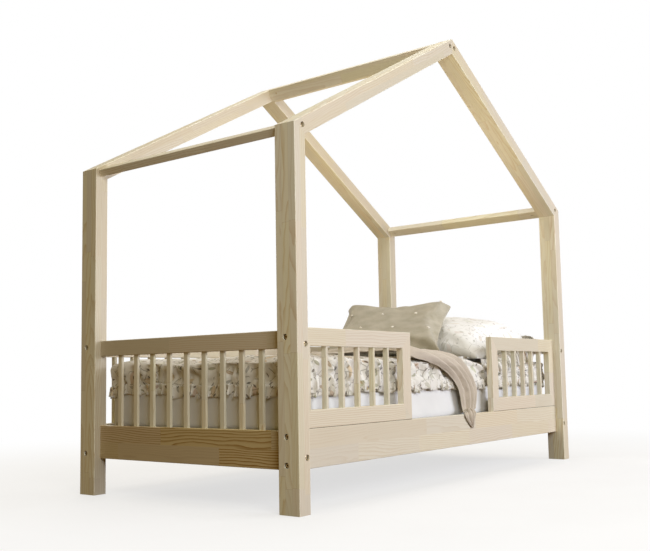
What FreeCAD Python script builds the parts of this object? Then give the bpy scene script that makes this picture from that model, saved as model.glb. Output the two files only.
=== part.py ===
import FreeCAD, Part
import math
import os

# House frame bed for a child, with a 900 x 2000 mattress and its bedding.
# Sizes are in millimetres. X runs along the bed with the foot end at -X, Y runs
# across it with the entry side (near) at -Y, and Z is up from the floor.

os.makedirs("parts", exist_ok=True)
V = FreeCAD.Vector
AXIS_X = V(1, 0, 0)
AXIS_Y = V(0, 1, 0)
AXIS_Z = V(0, 0, 1)

# Overall frame
BED_LENGTH = 2120.0
BED_WIDTH = 1076.0
BOARD = 28.0                       # every board is this thick; posts are glued from it
POST_X = 2 * BOARD                 # two lamellae along the bed
POST_Y = 3 * BOARD                 # three lamellae across it
POST_HEIGHT = 1246.0               # at the outer face, where the roof starts
ROOF_SLOPE = math.radians(29.0)
EASE = 3.0                         # radius of the eased arrises of the frame's timbers
BOARD_EASE = 1.5                   # bevel of the boards' arrises

# End panels, side rails and guards: heights above the floor
RAIL_BOTTOM = 135.0
END_BOARD_TOP = 258.0
END_RAIL_BOTTOM = 520.0
END_RAIL_TOP = 578.0
SIDE_RAIL_TOP = 261.0
GUARD_TOP = 588.0
GUARD_RAIL = 60.0                  # height of a guard's top and bottom rail
GUARD_STILE = 56.0
GUARD_LENGTH = 668.0
BACK_RAIL_BOTTOM = 518.0
NEAR_RECESS = 37.0                 # from the posts' outer face to the side boards
FAR_RECESS = 19.0

# Slats of the panels
SLAT_THIN = 11.0
SLAT_WIDE = 22.0
SLAT_EASE = 2.0
TENON = 10.0                       # how far a slat runs into its rails
END_SLATS = 9
END_PITCH = 88.0
GUARD_SLATS = 5
BACK_SLATS = 21
GUARD_PITCH = 92.5

# Roof beams, placed along and below the roof's surface
EAVE_FROM_CORNER = 36.0            # centre, up the slope from the top outer corner
EAVE_BELOW = 24.0                  # centre, square below the roof's surface
EAVE_ALONG = 2 * BOARD
RIDGE_SIDE = 42.0                  # each side of the keystone, along its slope
RAFTER_DEPTH = POST_X

# Fixings: furniture bolts with cross dowel nuts, and loose tenons in the glued joints
HEAD_SIDES = 12                    # small rounds are many-sided bars: heads and their recesses
BAR_SIDES = 8                      # and hidden shanks, nuts and bores
BOLT_R = 3.0
BOLT_HEAD_R = 6.5
BOLT_HEAD_H = 5.0
COUNTERBORE_R = 10.0
COUNTERBORE_DEPTH = 8.0
NUT_R = 5.0
NUT_LENGTH = 14.0
HOLE_PLAY = 0.2                    # radius that a hole has over what goes in it
SIDE_BOLT_REACH = 101.0            # from the post's outer face to the nut
END_BOLT_REACH = 122.0
SIDE_BOLT_HEIGHTS = (153.0, 242.0, 555.0)
BACK_BOLT_HEIGHTS = (154.0, 554.0)
END_BOLT_HEIGHTS = (176.0, 532.0)
RIDGE_BOLT_FROM_APEX = 33.0        # down the slope
RIDGE_BOLT_BELOW = 23.0            # square below the roof's surface
TENON_THICK = 10.0
TENON_PLAY = 0.1
MITRE_TENON = (44.0, 34.0)         # length across the joint, width along the mitre
APEX_TENON = (60.0, 30.0)
MITRE_TENON_SHIFT = 4.0            # towards the outer corner, clear of the roof bolts
APEX_TENON_ABOVE = 20.0            # above the apex's underside
GUARD_TENON = (50.0, 36.0)
GUARD_TENON_PLACES = (420.0, 640.0, 860.0)

# Bed base
LEDGER_TOP = 217.0
LEDGER_HEIGHT = 45.0
BASE_SLATS = 16
BASE_SLAT_WIDTH = 70.0
BASE_SLAT_THICK = 18.0
BASE_SLAT_EASE = 3.0
STRAP_WIDTH = 25.0
STRAP_THICK = 1.6
LEDGER_END_PLAY = 2.0
BASE_SLAT_PLAY = 5.0               # from a slat's end to the side board
BASE_END_PLAY = 1.5                # from the first slat to the end panel
STRAP_PLACES = (-300.0, 318.0)
STRAP_END_PLAY = 10.0

# Bedding
MATTRESS_X = 1980.0
MATTRESS_Y = 880.0
MATTRESS_Z = 165.0
MATTRESS_CORNER = 45.0
MATTRESS_EDGE = 18.0
SOFT_GAP = 0.5                     # room between a soft piece and what carries it
DUVET_HEM = 366.0
DUVET_TOP = 520.0
PILLOW_LENGTH = 780.0
PILLOW_DEPTH = 640.0
PILLOW_THICK = 175.0
PILLOW_TILT = 12.0
PILLOW_MIDDLE = (686.0, -20.0, 621.0)
CUSHION_LENGTH = 510.0
CUSHION_DEPTH = 500.0
CUSHION_THICK = 130.0
CUSHION_LEAN = 28.0
CUSHION_SWING = 20.8
CUSHION_MIDDLE = (366.0, 46.0, 663.0)

# Places worked out from the driving dimensions
OUT_X = BED_LENGTH / 2
OUT_Y = BED_WIDTH / 2
IN_X = OUT_X - POST_X
IN_Y = OUT_Y - POST_Y
SLOPE_UP = V(math.cos(ROOF_SLOPE), 0, math.sin(ROOF_SLOPE))
SLOPE_DOWN_IN = V(math.sin(ROOF_SLOPE), 0, -math.cos(ROOF_SLOPE))
APEX_Z = POST_HEIGHT + OUT_X * math.tan(ROOF_SLOPE)
APEX_UNDER_Z = APEX_Z - RAFTER_DEPTH / math.cos(ROOF_SLOPE)
MITRE_ANGLE = (math.pi / 2 - ROOF_SLOPE) / 2
MITRE_DROP = POST_X * math.tan(MITRE_ANGLE)
END_X0 = -OUT_X + BOARD
END_X1 = -IN_X
END_MID = (END_X0 + END_X1) / 2
NEAR_Y0 = -OUT_Y + NEAR_RECESS
NEAR_Y1 = NEAR_Y0 + BOARD
NEAR_MID = (NEAR_Y0 + NEAR_Y1) / 2
FAR_Y1 = OUT_Y - FAR_RECESS
FAR_Y0 = FAR_Y1 - BOARD
FAR_MID = (FAR_Y0 + FAR_Y1) / 2
BASE_TOP = LEDGER_TOP + BASE_SLAT_THICK
MATTRESS_TOP = BASE_TOP + MATTRESS_Z


def block(x0, x1, y0, y1, z0, z1):
    return Part.makeBox(x1 - x0, y1 - y0, z1 - z0, V(x0, y0, z0))


def prism(points, y0, y1):
    """Solid from an outline of (x, z) points, between two places across the bed."""
    outline = Part.makePolygon([V(x, y0, z) for x, z in points + points[:1]])
    return Part.Face(outline).extrude(V(0, y1 - y0, 0))


def eased(solid, direction, radius=EASE):
    """Round the arrises that run along a direction."""
    arrises = []
    for edge in solid.Edges:
        along = edge.Vertexes[-1].Point - edge.Vertexes[0].Point
        if abs(along.normalize().dot(direction)) > 0.9999:
            arrises.append(edge)
    return solid.makeFillet(radius, arrises)


def chamfered(solid, direction, size):
    """Take the arrises that run along a direction off at 45 degrees."""
    arrises = []
    for edge in solid.Edges:
        along = edge.Vertexes[-1].Point - edge.Vertexes[0].Point
        if abs(along.normalize().dot(direction)) > 0.9999:
            arrises.append(edge)
    return solid.makeChamfer(size, arrises)


def mirrored(shape, axis):
    return shape.mirror(V(0, 0, 0), axis)


def bar(start, direction, radius, length, sides=BAR_SIDES):
    """Many-sided bar from a point along a direction."""
    across = direction.cross(AXIS_Z)
    if across.Length < 0.1:
        across = direction.cross(AXIS_Y)
    across.normalize()
    other = direction.cross(across)
    corners = []
    for i in range(sides + 1):
        turn = 2 * math.pi * (i + 0.5) / sides
        corners.append(start + across * (radius * math.cos(turn)) + other * (radius * math.sin(turn)))
    return Part.Face(Part.makePolygon(corners)).extrude(direction * length)


def group(solids):
    return Part.makeCompound(solids)


def export(name, shape):
    shape.exportStep("parts/" + name + ".step")


# ---------------------------------------------------------------- fixings

def roof_point(up, below, y):
    """Point on the foot half of the roof: up the slope, then square below its surface."""
    return V(-OUT_X, y, POST_HEIGHT) + SLOPE_UP * up + SLOPE_DOWN_IN * below


class Fixing:
    """A bolt from a post's or rafter's outer face into a cross dowel nut in a board."""

    def __init__(self, face, inward, reach, nut_axis, nut_depth):
        self.face = face
        self.inward = inward
        self.reach = reach
        self.nut_axis = nut_axis       # points at the face that the nut goes in from
        self.nut_depth = nut_depth     # from the bolt's axis to that face

    def bolt(self):
        seat = self.face + self.inward * COUNTERBORE_DEPTH
        head = bar(seat - self.inward * BOLT_HEAD_H, self.inward, BOLT_HEAD_R, BOLT_HEAD_H,
                   HEAD_SIDES)
        shank = self.reach - COUNTERBORE_DEPTH - NUT_R - HOLE_PLAY
        return head.fuse(bar(seat, self.inward, BOLT_R, shank)).removeSplitter()

    def nut(self):
        centre = self.face + self.inward * self.reach
        return bar(centre - self.nut_axis * (NUT_LENGTH / 2), self.nut_axis, NUT_R, NUT_LENGTH)

    def drillings(self):
        counterbore = bar(self.face, self.inward, COUNTERBORE_R, COUNTERBORE_DEPTH, HEAD_SIDES)
        bore = bar(self.face, self.inward, BOLT_R + HOLE_PLAY, self.reach)
        nut_floor = self.face + self.inward * self.reach - self.nut_axis * (NUT_LENGTH / 2)
        nut_hole = bar(nut_floor, self.nut_axis, NUT_R + HOLE_PLAY,
                       self.nut_depth + NUT_LENGTH / 2)
        return [counterbore, bore, nut_hole]


class LooseTenon:
    """A glued hardwood tongue across a joint: its middle, length, width and thickness."""

    def __init__(self, centre, along, wide, size):
        self.centre = centre
        self.along = along
        self.wide = wide
        self.size = size

    def slab(self, play):
        length, width = self.size
        thick = self.along.cross(self.wide)
        half_width = self.wide * (width / 2 + play)
        half_thick = thick * (TENON_THICK / 2 + play)
        start = self.centre - self.along * (length / 2 + play)
        corners = [start - half_width - half_thick, start + half_width - half_thick,
                   start + half_width + half_thick, start - half_width + half_thick]
        outline = Part.makePolygon(corners + corners[:1])
        return Part.Face(outline).extrude(self.along * (length + 2 * play))

    def tongue(self):
        return self.slab(0.0)

    def drillings(self):
        return [self.slab(TENON_PLAY)]


def side_fixings():
    """Bolts along the bed: posts to side rails, guards and the back panel's top rail."""
    fixings = []
    for end in (-1, 1):
        inward = V(-end, 0, 0)
        for z in SIDE_BOLT_HEIGHTS:
            fixings.append(Fixing(V(end * OUT_X, NEAR_MID, z), inward, SIDE_BOLT_REACH,
                                  AXIS_Y, BOARD / 2))
        for z in BACK_BOLT_HEIGHTS:
            fixings.append(Fixing(V(end * OUT_X, FAR_MID, z), inward, SIDE_BOLT_REACH,
                                  -AXIS_Y, BOARD / 2))
    return fixings


def end_fixings():
    """Bolts across the bed: posts to the end panels' boards."""
    fixings = []
    for end in (-1, 1):
        for side in (-1, 1):
            for z in END_BOLT_HEIGHTS:
                fixings.append(Fixing(V(-end * END_MID, side * OUT_Y, z), V(0, -side, 0),
                                      END_BOLT_REACH, V(-end, 0, 0), BOARD / 2))
    return fixings


def roof_fixings():
    """Bolts across the bed: rafters to the eave beams, and two more to the ridge beam."""
    fixings = []
    ridge_up = OUT_X / math.cos(ROOF_SLOPE) - RIDGE_BOLT_FROM_APEX
    ridge_depth = RIDGE_SIDE - RIDGE_BOLT_FROM_APEX + 1
    for side in (-1, 1):
        for end in (-1, 1):
            eave = roof_point(EAVE_FROM_CORNER, EAVE_BELOW, side * OUT_Y)
            nut_way = V(SLOPE_DOWN_IN)
            ridge = roof_point(ridge_up, RIDGE_BOLT_BELOW, side * OUT_Y)
            ridge_way = -SLOPE_UP
            if end > 0:
                eave.x = -eave.x
                nut_way.x = -nut_way.x
                ridge.x = -ridge.x
                ridge_way.x = -ridge_way.x
            fixings.append(Fixing(eave, V(0, -side, 0), END_BOLT_REACH, nut_way, BOARD / 2))
            fixings.append(Fixing(ridge, V(0, -side, 0), END_BOLT_REACH, ridge_way, ridge_depth))
    return fixings


def mitre_tenons():
    """Tongues square across the mitres of posts and rafters, and level across the apex."""
    tenons = []
    along = V(math.cos(MITRE_ANGLE), 0, -math.sin(MITRE_ANGLE))
    square = V(math.sin(MITRE_ANGLE), 0, math.cos(MITRE_ANGLE))
    middle = V(-OUT_X + POST_X / 2, 0, POST_HEIGHT - MITRE_DROP / 2)
    middle = middle - along * MITRE_TENON_SHIFT
    for side in (-1, 1):
        y = side * (OUT_Y - POST_Y / 2)
        for end in (-1, 1):
            centre = V(-end * middle.x, y, middle.z)
            direction = V(-end * square.x, 0, square.z)
            tenons.append(LooseTenon(centre, direction, AXIS_Y, MITRE_TENON))
        apex = V(0, y, APEX_UNDER_Z + APEX_TENON_ABOVE)
        tenons.append(LooseTenon(apex, AXIS_X, AXIS_Y, APEX_TENON))
    return tenons


def guard_tenons():
    """Upright tongues that hold each guard on the side rail."""
    tenons = []
    for end in (-1, 1):
        for x in GUARD_TENON_PLACES:
            centre = V(end * x, NEAR_MID, SIDE_RAIL_TOP)
            tenons.append(LooseTenon(centre, AXIS_Z, AXIS_X, GUARD_TENON))
    return tenons


SIDE_FIXINGS = side_fixings()
END_FIXINGS = end_fixings()
ROOF_FIXINGS = roof_fixings()
MITRE_TENONS = mitre_tenons()
GUARD_TENONS = guard_tenons()
DRILLINGS = []
for fastener in SIDE_FIXINGS + END_FIXINGS + ROOF_FIXINGS + MITRE_TENONS + GUARD_TENONS:
    DRILLINGS.extend(fastener.drillings())


def drilled(solid):
    """Cut every drilling that reaches a piece of wood."""
    for drilling in DRILLINGS:
        if solid.BoundBox.intersect(drilling.BoundBox):
            solid = solid.cut(drilling)
    return solid


# ---------------------------------------------------------------- posts and roof

def post(end, side):
    """Corner post, whose top is one half of the mitre with its rafter."""
    outline = [(-OUT_X, 0), (-IN_X, 0), (-IN_X, POST_HEIGHT - MITRE_DROP), (-OUT_X, POST_HEIGHT)]
    solid = eased(prism(outline, -OUT_Y, -IN_Y), AXIS_Z)
    if end > 0:
        solid = mirrored(solid, AXIS_X)
    if side > 0:
        solid = mirrored(solid, AXIS_Y)
    return drilled(solid)


def rafter(end, side):
    """Roof timber from the post's mitre to the plumb cut at the apex."""
    outline = [(-OUT_X, POST_HEIGHT), (0, APEX_Z), (0, APEX_UNDER_Z),
               (-IN_X, POST_HEIGHT - MITRE_DROP)]
    solid = eased(prism(outline, -OUT_Y, -IN_Y), SLOPE_UP)
    if end > 0:
        solid = mirrored(solid, AXIS_X)
    if side > 0:
        solid = mirrored(solid, AXIS_Y)
    return drilled(solid)


def eave_beam(end):
    """Flat batten between the near and far rafters, laid in the roof's slope."""
    low = EAVE_FROM_CORNER - EAVE_ALONG / 2
    high = EAVE_FROM_CORNER + EAVE_ALONG / 2
    corners = [(low, EAVE_BELOW - BOARD / 2), (high, EAVE_BELOW - BOARD / 2),
               (high, EAVE_BELOW + BOARD / 2), (low, EAVE_BELOW + BOARD / 2)]
    points = [roof_point(up, below, 0) for up, below in corners]
    solid = chamfered(prism([(p.x, p.z) for p in points], -IN_Y, IN_Y), AXIS_Y, BOARD_EASE)
    if end > 0:
        solid = mirrored(solid, AXIS_X)
    return drilled(solid)


def ridge_beam():
    """Keystone beam: its top follows both slopes and its sides stand square to them."""
    apex_up = OUT_X / math.cos(ROOF_SLOPE)
    shoulder = roof_point(apex_up - RIDGE_SIDE, 0, 0)
    foot = roof_point(apex_up - RIDGE_SIDE, RAFTER_DEPTH, 0)
    outline = [(0, APEX_Z), (shoulder.x, shoulder.z), (foot.x, foot.z), (-foot.x, foot.z),
               (-shoulder.x, shoulder.z)]
    return drilled(eased(prism(outline, -IN_Y, IN_Y), AXIS_Y))


# ---------------------------------------------------------------- panels

def slat(x, y, wide_x, wide_y, z0, z1):
    """Upright panel slat whose ends are its tenons."""
    solid = block(x - wide_x / 2, x + wide_x / 2, y - wide_y / 2, y + wide_y / 2, z0, z1)
    return chamfered(solid, AXIS_Z, SLAT_EASE)


def slat_places(middle, count, pitch):
    return [middle + (i - (count - 1) / 2) * pitch for i in range(count)]


def mortised(board, places, wide_x, wide_y, z0, z1):
    """Cut the pockets that take the slats' tenons."""
    for x, y in places:
        board = board.cut(block(x - wide_x / 2, x + wide_x / 2, y - wide_y / 2, y + wide_y / 2,
                                z0, z1))
    return board


def end_panel(end, name):
    """Top rail, slats and bottom board between the two posts of one end."""
    places = [(END_MID, y) for y in slat_places(0, END_SLATS, END_PITCH)]
    top = block(END_X0, END_X1, -IN_Y, IN_Y, END_RAIL_BOTTOM, END_RAIL_TOP)
    top = chamfered(top, AXIS_Y, BOARD_EASE)
    top = mortised(top, places, SLAT_THIN, SLAT_WIDE, END_RAIL_BOTTOM, END_RAIL_BOTTOM + TENON)
    board = block(END_X0, END_X1, -IN_Y, IN_Y, RAIL_BOTTOM, END_BOARD_TOP)
    board = chamfered(board, AXIS_Y, BOARD_EASE)
    board = mortised(board, places, SLAT_THIN, SLAT_WIDE, END_BOARD_TOP - TENON, END_BOARD_TOP)
    slats = group([slat(x, y, SLAT_THIN, SLAT_WIDE, END_BOARD_TOP - TENON,
                        END_RAIL_BOTTOM + TENON) for x, y in places])
    if end > 0:
        top = mirrored(top, AXIS_X)
        board = mirrored(board, AXIS_X)
        slats = mirrored(slats, AXIS_X)
    export(name + "_top_rail", drilled(top))
    export(name + "_bottom_board", drilled(board))
    export(name + "_slats", slats)


def back_panel():
    """Full length panel on the far side: side rail, slats and top rail."""
    places = [(x, FAR_MID) for x in slat_places(0, BACK_SLATS, GUARD_PITCH)]
    rail = block(-IN_X, IN_X, FAR_Y0, FAR_Y1, RAIL_BOTTOM, SIDE_RAIL_TOP)
    rail = chamfered(rail, AXIS_X, BOARD_EASE)
    rail = mortised(rail, places, SLAT_THIN, SLAT_WIDE, SIDE_RAIL_TOP - TENON, SIDE_RAIL_TOP)
    top = block(-IN_X, IN_X, FAR_Y0, FAR_Y1, BACK_RAIL_BOTTOM, END_RAIL_TOP)
    top = chamfered(top, AXIS_X, BOARD_EASE)
    top = mortised(top, places, SLAT_THIN, SLAT_WIDE, BACK_RAIL_BOTTOM, BACK_RAIL_BOTTOM + TENON)
    slats = group([slat(x, y, SLAT_THIN, SLAT_WIDE, SIDE_RAIL_TOP - TENON,
                        BACK_RAIL_BOTTOM + TENON) for x, y in places])
    return rail, top, slats


def guard(end, name):
    """Slatted guard on the entry side: four mitred frame pieces round five slats."""
    x0 = -IN_X
    x1 = x0 + GUARD_LENGTH
    z0 = SIDE_RAIL_TOP
    z1 = GUARD_TOP
    inner = (x0 + GUARD_STILE, x1 - GUARD_STILE, z0 + GUARD_RAIL, z1 - GUARD_RAIL)
    places = [(x, NEAR_MID) for x in slat_places((x0 + x1) / 2, GUARD_SLATS, GUARD_PITCH)]
    pieces = {
        "bottom_rail": ([(x0, z0), (x1, z0), (inner[1], inner[2]), (inner[0], inner[2])], AXIS_X),
        "top_rail": ([(x0, z1), (x1, z1), (inner[1], inner[3]), (inner[0], inner[3])], AXIS_X),
        "post_stile": ([(x0, z0), (inner[0], inner[2]), (inner[0], inner[3]), (x0, z1)], AXIS_Z),
        "free_stile": ([(x1, z0), (inner[1], inner[2]), (inner[1], inner[3]), (x1, z1)], AXIS_Z),
    }
    for piece, (outline, grain) in pieces.items():
        solid = chamfered(prism(outline, NEAR_Y0, NEAR_Y1), grain, BOARD_EASE)
        if piece == "bottom_rail":
            solid = mortised(solid, places, SLAT_THIN, SLAT_WIDE, inner[2] - TENON, inner[2])
        if piece == "top_rail":
            solid = mortised(solid, places, SLAT_THIN, SLAT_WIDE, inner[3], inner[3] + TENON)
        if end > 0:
            solid = mirrored(solid, AXIS_X)
        export(name + "_" + piece, drilled(solid))
    slats = group([slat(x, y, SLAT_THIN, SLAT_WIDE, inner[2] - TENON, inner[3] + TENON)
                   for x, y in places])
    if end > 0:
        slats = mirrored(slats, AXIS_X)
    export(name + "_slats", slats)


# ---------------------------------------------------------------- bed base

def base_pitch():
    return (2 * (IN_X - BASE_END_PLAY) - BASE_SLAT_WIDTH) / (BASE_SLATS - 1)


def bed_base():
    """Rolled slats on two ledgers, tied by two webbing straps."""
    ledger_x = IN_X - LEDGER_END_PLAY
    ledger_z = LEDGER_TOP - LEDGER_HEIGHT
    export("slat_ledger_near", block(-ledger_x, ledger_x, NEAR_Y1, NEAR_Y1 + BOARD, ledger_z,
                                     LEDGER_TOP))
    export("slat_ledger_far", block(-ledger_x, ledger_x, FAR_Y0 - BOARD, FAR_Y0, ledger_z,
                                    LEDGER_TOP))
    slats = []
    for x in slat_places(0, BASE_SLATS, base_pitch()):
        one = block(x - BASE_SLAT_WIDTH / 2, x + BASE_SLAT_WIDTH / 2, NEAR_Y1 + BASE_SLAT_PLAY,
                    FAR_Y0 - BASE_SLAT_PLAY, LEDGER_TOP, BASE_TOP)
        slats.append(chamfered(one, AXIS_Y, BASE_SLAT_EASE))
    export("base_slats", group(slats))
    strap_x = IN_X - STRAP_END_PLAY
    straps = [block(-strap_x, strap_x, y - STRAP_WIDTH / 2, y + STRAP_WIDTH / 2,
                    LEDGER_TOP - STRAP_THICK, LEDGER_TOP) for y in STRAP_PLACES]
    export("base_straps", group(straps))


# ---------------------------------------------------------------- bedding

def mattress():
    solid = block(-MATTRESS_X / 2, MATTRESS_X / 2, -MATTRESS_Y / 2, MATTRESS_Y / 2,
                  BASE_TOP, MATTRESS_TOP)
    solid = eased(solid, AXIS_Z, MATTRESS_CORNER)
    level = [e for e in solid.Edges if abs(e.BoundBox.ZLength) < 0.01]
    return solid.makeChamfer(MATTRESS_EDGE, level)


def puffed_outline(half_x, half_y, z, corner, puff):
    """Outline of the duvet at one height: a row of outward arcs between drawn-in points."""
    along = 8
    across = 4
    steps_x = [-half_x + corner + 2 * (half_x - corner) * i / along for i in range(along + 1)]
    steps_y = [-half_y + corner + 2 * (half_y - corner) * i / across for i in range(across + 1)]
    edges = []

    def arc(x0, y0, x1, y1, out_x, out_y):
        middle = V((x0 + x1) / 2 + out_x, (y0 + y1) / 2 + out_y, z)
        edges.append(Part.Arc(V(x0, y0, z), middle, V(x1, y1, z)).toShape())

    turn = corner * (math.sqrt(0.5) - 0.5)
    for a, b in zip(steps_x, steps_x[1:]):
        arc(a, -half_y, b, -half_y, 0, -puff)
    arc(half_x - corner, -half_y, half_x, -half_y + corner, turn, -turn)
    for a, b in zip(steps_y, steps_y[1:]):
        arc(half_x, a, half_x, b, puff, 0)
    arc(half_x, half_y - corner, half_x - corner, half_y, turn, turn)
    for a, b in zip(steps_x, steps_x[1:]):
        arc(-a, half_y, -b, half_y, 0, puff)
    arc(-half_x + corner, half_y, -half_x, half_y - corner, -turn, turn)
    for a, b in zip(steps_y, steps_y[1:]):
        arc(-half_x, -a, -half_x, -b, -puff, 0)
    arc(-half_x, -half_y + corner, -half_x + corner, -half_y, -turn, -turn)
    return Part.Wire(edges)


def duvet():
    """Puffy cover over the whole mattress, hanging a little way down all its sides."""
    clear_x = IN_X - 2.0
    clear_y = -NEAR_Y1 - 6.0
    rings = [(DUVET_HEM, 0, 0, 6.0), (425.0, 3.0, 6.0, 5.0), (483.0, 14.0, 16.0, 5.0),
             (508.0, 42.0, 44.0, 4.0), (DUVET_TOP, 105.0, 108.0, 3.0)]
    wires = []
    for z, in_x, in_y, puff in rings:
        wires.append(puffed_outline(clear_x - in_x - puff, clear_y - in_y - puff, z, 60.0, puff))
    body = Part.makeLoft(wires, True, True)
    room = block(-MATTRESS_X / 2 - SOFT_GAP, MATTRESS_X / 2 + SOFT_GAP,
                 -MATTRESS_Y / 2 - SOFT_GAP, MATTRESS_Y / 2 + SOFT_GAP,
                 DUVET_HEM - 10, MATTRESS_TOP + SOFT_GAP)
    return body.cut(eased(room, AXIS_Z, MATTRESS_CORNER))


def skinned(rings):
    """Solid over rings of equally many points, with flat triangles from each to the next."""
    faces = [Part.Face(Part.makePolygon(ring + ring[:1])) for ring in (rings[0], rings[-1])]
    for first, second in zip(rings, rings[1:]):
        for i, j in zip(range(len(first)), list(range(1, len(first))) + [0]):
            for corners in ([first[i], first[j], second[j]], [first[i], second[j], second[i]]):
                faces.append(Part.Face(Part.makePolygon(corners + corners[:1])))
    shell = Part.Shell(faces)
    shell.sewShape()
    solid = Part.Solid(shell)
    if solid.Volume < 0:
        solid.reverse()
    return solid


def crowned(length, depth, thick, drawn_in, droop):
    """Cushion of lens sections: full in the middle, with its sides drawn in between corners."""
    chords = 8
    rings = []
    for place in (-1.0, -0.95, -0.8, -0.5, -0.17, 0.17, 0.5, 0.8, 0.95, 1.0):
        fullness = math.sqrt(1 - 0.985 * place ** 4)
        half = depth / 2 - drawn_in * (1 - place ** 2)
        y = place * length / 2
        sink = droop * place ** 2
        bulge = fullness * thick / 2
        points = []
        for way in (1, -1):
            for i in range(chords):
                across = way * math.cos(math.pi * i / chords)
                points.append(V(across * half, y, way * bulge * (1 - across ** 2) - sink))
        rings.append(points)
    return skinned(rings)


def pillow():
    """Sleeping pillow that lies on the duvet and leans a little on the head panel."""
    solid = crowned(PILLOW_LENGTH, PILLOW_DEPTH, PILLOW_THICK, 10.0, 20.0)
    tilt = FreeCAD.Rotation(AXIS_Y, -PILLOW_TILT)
    solid.Placement = FreeCAD.Placement(V(*PILLOW_MIDDLE), tilt)
    return solid


def scatter_cushion():
    """Square cushion that lies back on the pillow, with its lower edge on the duvet."""
    solid = crowned(CUSHION_LENGTH, CUSHION_DEPTH, CUSHION_THICK, 12.0, 0.0)
    lean = FreeCAD.Rotation(AXIS_Y, -CUSHION_LEAN)
    swing = FreeCAD.Rotation(AXIS_Z, CUSHION_SWING)
    solid.Placement = FreeCAD.Placement(V(*CUSHION_MIDDLE), swing.multiply(lean))
    return solid


def throw():
    """Gathered blanket over the duvet, down over the near edge and over the side rail."""
    # What it lies on, as (y, z) from the bed's middle to the hanging tip.
    under = [(300.0, 524.0), (-345.0, 524.0), (-385.0, 521.5), (-418.0, 514.5), (-442.0, 502.0),
             (-456.0, 487.0), (-463.0, 460.0), (-466.0, 427.0), (-471.0, 366.0),
             (-471.0, 290.0), (-475.0, 270.0), (-484.0, 265.0), (-499.0, 264.0),
             (-505.0, 257.0), (-505.0, 200.0)]
    # Its left and right edges, each as a place along the bed and a run along that outline.
    stations = [(20.0, 20.0, 250.0, 20.0), (-130.0, 330.0, 120.0, 330.0),
                (-240.0, 560.0, -10.0, 560.0), (-275.0, 640.0, -40.0, 610.0),
                (-285.0, 700.0, -55.0, 635.0), (-268.0, 745.0, -40.0, 660.0),
                (-215.0, 764.0, -5.0, 685.0), (-150.0, 774.0, 45.0, 715.0),
                (-85.0, 790.0, 95.0, 742.0), (-30.0, 810.0, 140.0, 772.0),
                (15.0, 832.0, 175.0, 805.0), (50.0, 860.0, 205.0, 840.0),
                (80.0, 897.0, 226.0, 888.0), (112.0, 940.0, 227.0, 925.0),
                (145.0, 975.0, 208.0, 968.0), (153.0, 992.0, 200.0, 992.0),
                (160.0, 1010.0, 196.0, 1010.0), (164.0, 1021.0, 198.0, 1021.0),
                (178.0, 1050.0, 204.0, 1050.0), (193.0, 1074.0, 202.0, 1074.0)]
    folds = 3
    marks = [0.0]
    for (y0, z0), (y1, z1) in zip(under, under[1:]):
        marks.append(marks[-1] + math.hypot(y1 - y0, z1 - z0))

    def at(x, run, lift):
        k = max(i for i in range(len(under) - 1) if marks[i] <= run)
        (y0, z0), (y1, z1) = under[k], under[k + 1]
        long = marks[k + 1] - marks[k]
        share = (run - marks[k]) / long
        out_y, out_z = (z1 - z0) / long * lift, (y0 - y1) / long * lift
        return V(x, y0 + (y1 - y0) * share + out_y, z0 + (z1 - z0) * share + out_z)

    rings = []
    for x0, run0, x1, run1 in stations:
        wide = math.hypot(x1 - x0, run1 - run0)
        layer = 1.5 + 4.0 * min(1.0, wide / 150.0)
        fold = 7.0 * min(1.0, wide / 150.0)
        ring = []
        for i in range(2 * folds + 1):
            share = 1 - i / (2.0 * folds)
            ring.append(at(x0 + (x1 - x0) * share, run0 + (run1 - run0) * share, 0))
        for i in range(2 * folds + 1):
            share = i / (2.0 * folds)
            lift = layer + (fold if i % 2 else 0)
            ring.append(at(x0 + (x1 - x0) * share, run0 + (run1 - run0) * share, lift))
        rings.append(ring)
    return skinned(rings)


# ---------------------------------------------------------------- the bed

for end_name, end in (("foot", -1), ("head", 1)):
    for side_name, side in (("near", -1), ("far", 1)):
        export("post_" + end_name + "_" + side_name, post(end, side))
        export("rafter_" + end_name + "_" + side_name, rafter(end, side))
    export("eave_beam_" + end_name, eave_beam(end))
    end_panel(end, end_name + "_panel")
    guard(end, "guard_" + end_name)
export("ridge_beam", ridge_beam())

bed_base()
near_rail = block(-IN_X, IN_X, NEAR_Y0, NEAR_Y1, RAIL_BOTTOM, SIDE_RAIL_TOP)
export("side_rail_near", drilled(chamfered(near_rail, AXIS_X, BOARD_EASE)))
far_rail, back_top_rail, back_slats = back_panel()
export("side_rail_far", drilled(far_rail))
export("back_panel_top_rail", drilled(back_top_rail))
export("back_panel_slats", back_slats)

export("side_bolts", group([fixing.bolt() for fixing in SIDE_FIXINGS]))
export("end_bolts", group([fixing.bolt() for fixing in END_FIXINGS]))
export("roof_bolts", group([fixing.bolt() for fixing in ROOF_FIXINGS]))
export("cross_dowel_nuts", group([fixing.nut() for fixing in
                                  SIDE_FIXINGS + END_FIXINGS + ROOF_FIXINGS]))
export("mitre_tenons", group([tenon.tongue() for tenon in MITRE_TENONS]))
export("guard_tenons", group([tenon.tongue() for tenon in GUARD_TENONS]))

export("mattress", mattress())
export("duvet", duvet())
export("pillow", pillow())
export("scatter_cushion", scatter_cushion())
export("throw", throw())
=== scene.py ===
import math
import random

import bpy
import numpy as np
from mathutils import Euler, Matrix, Vector, noise


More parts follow.
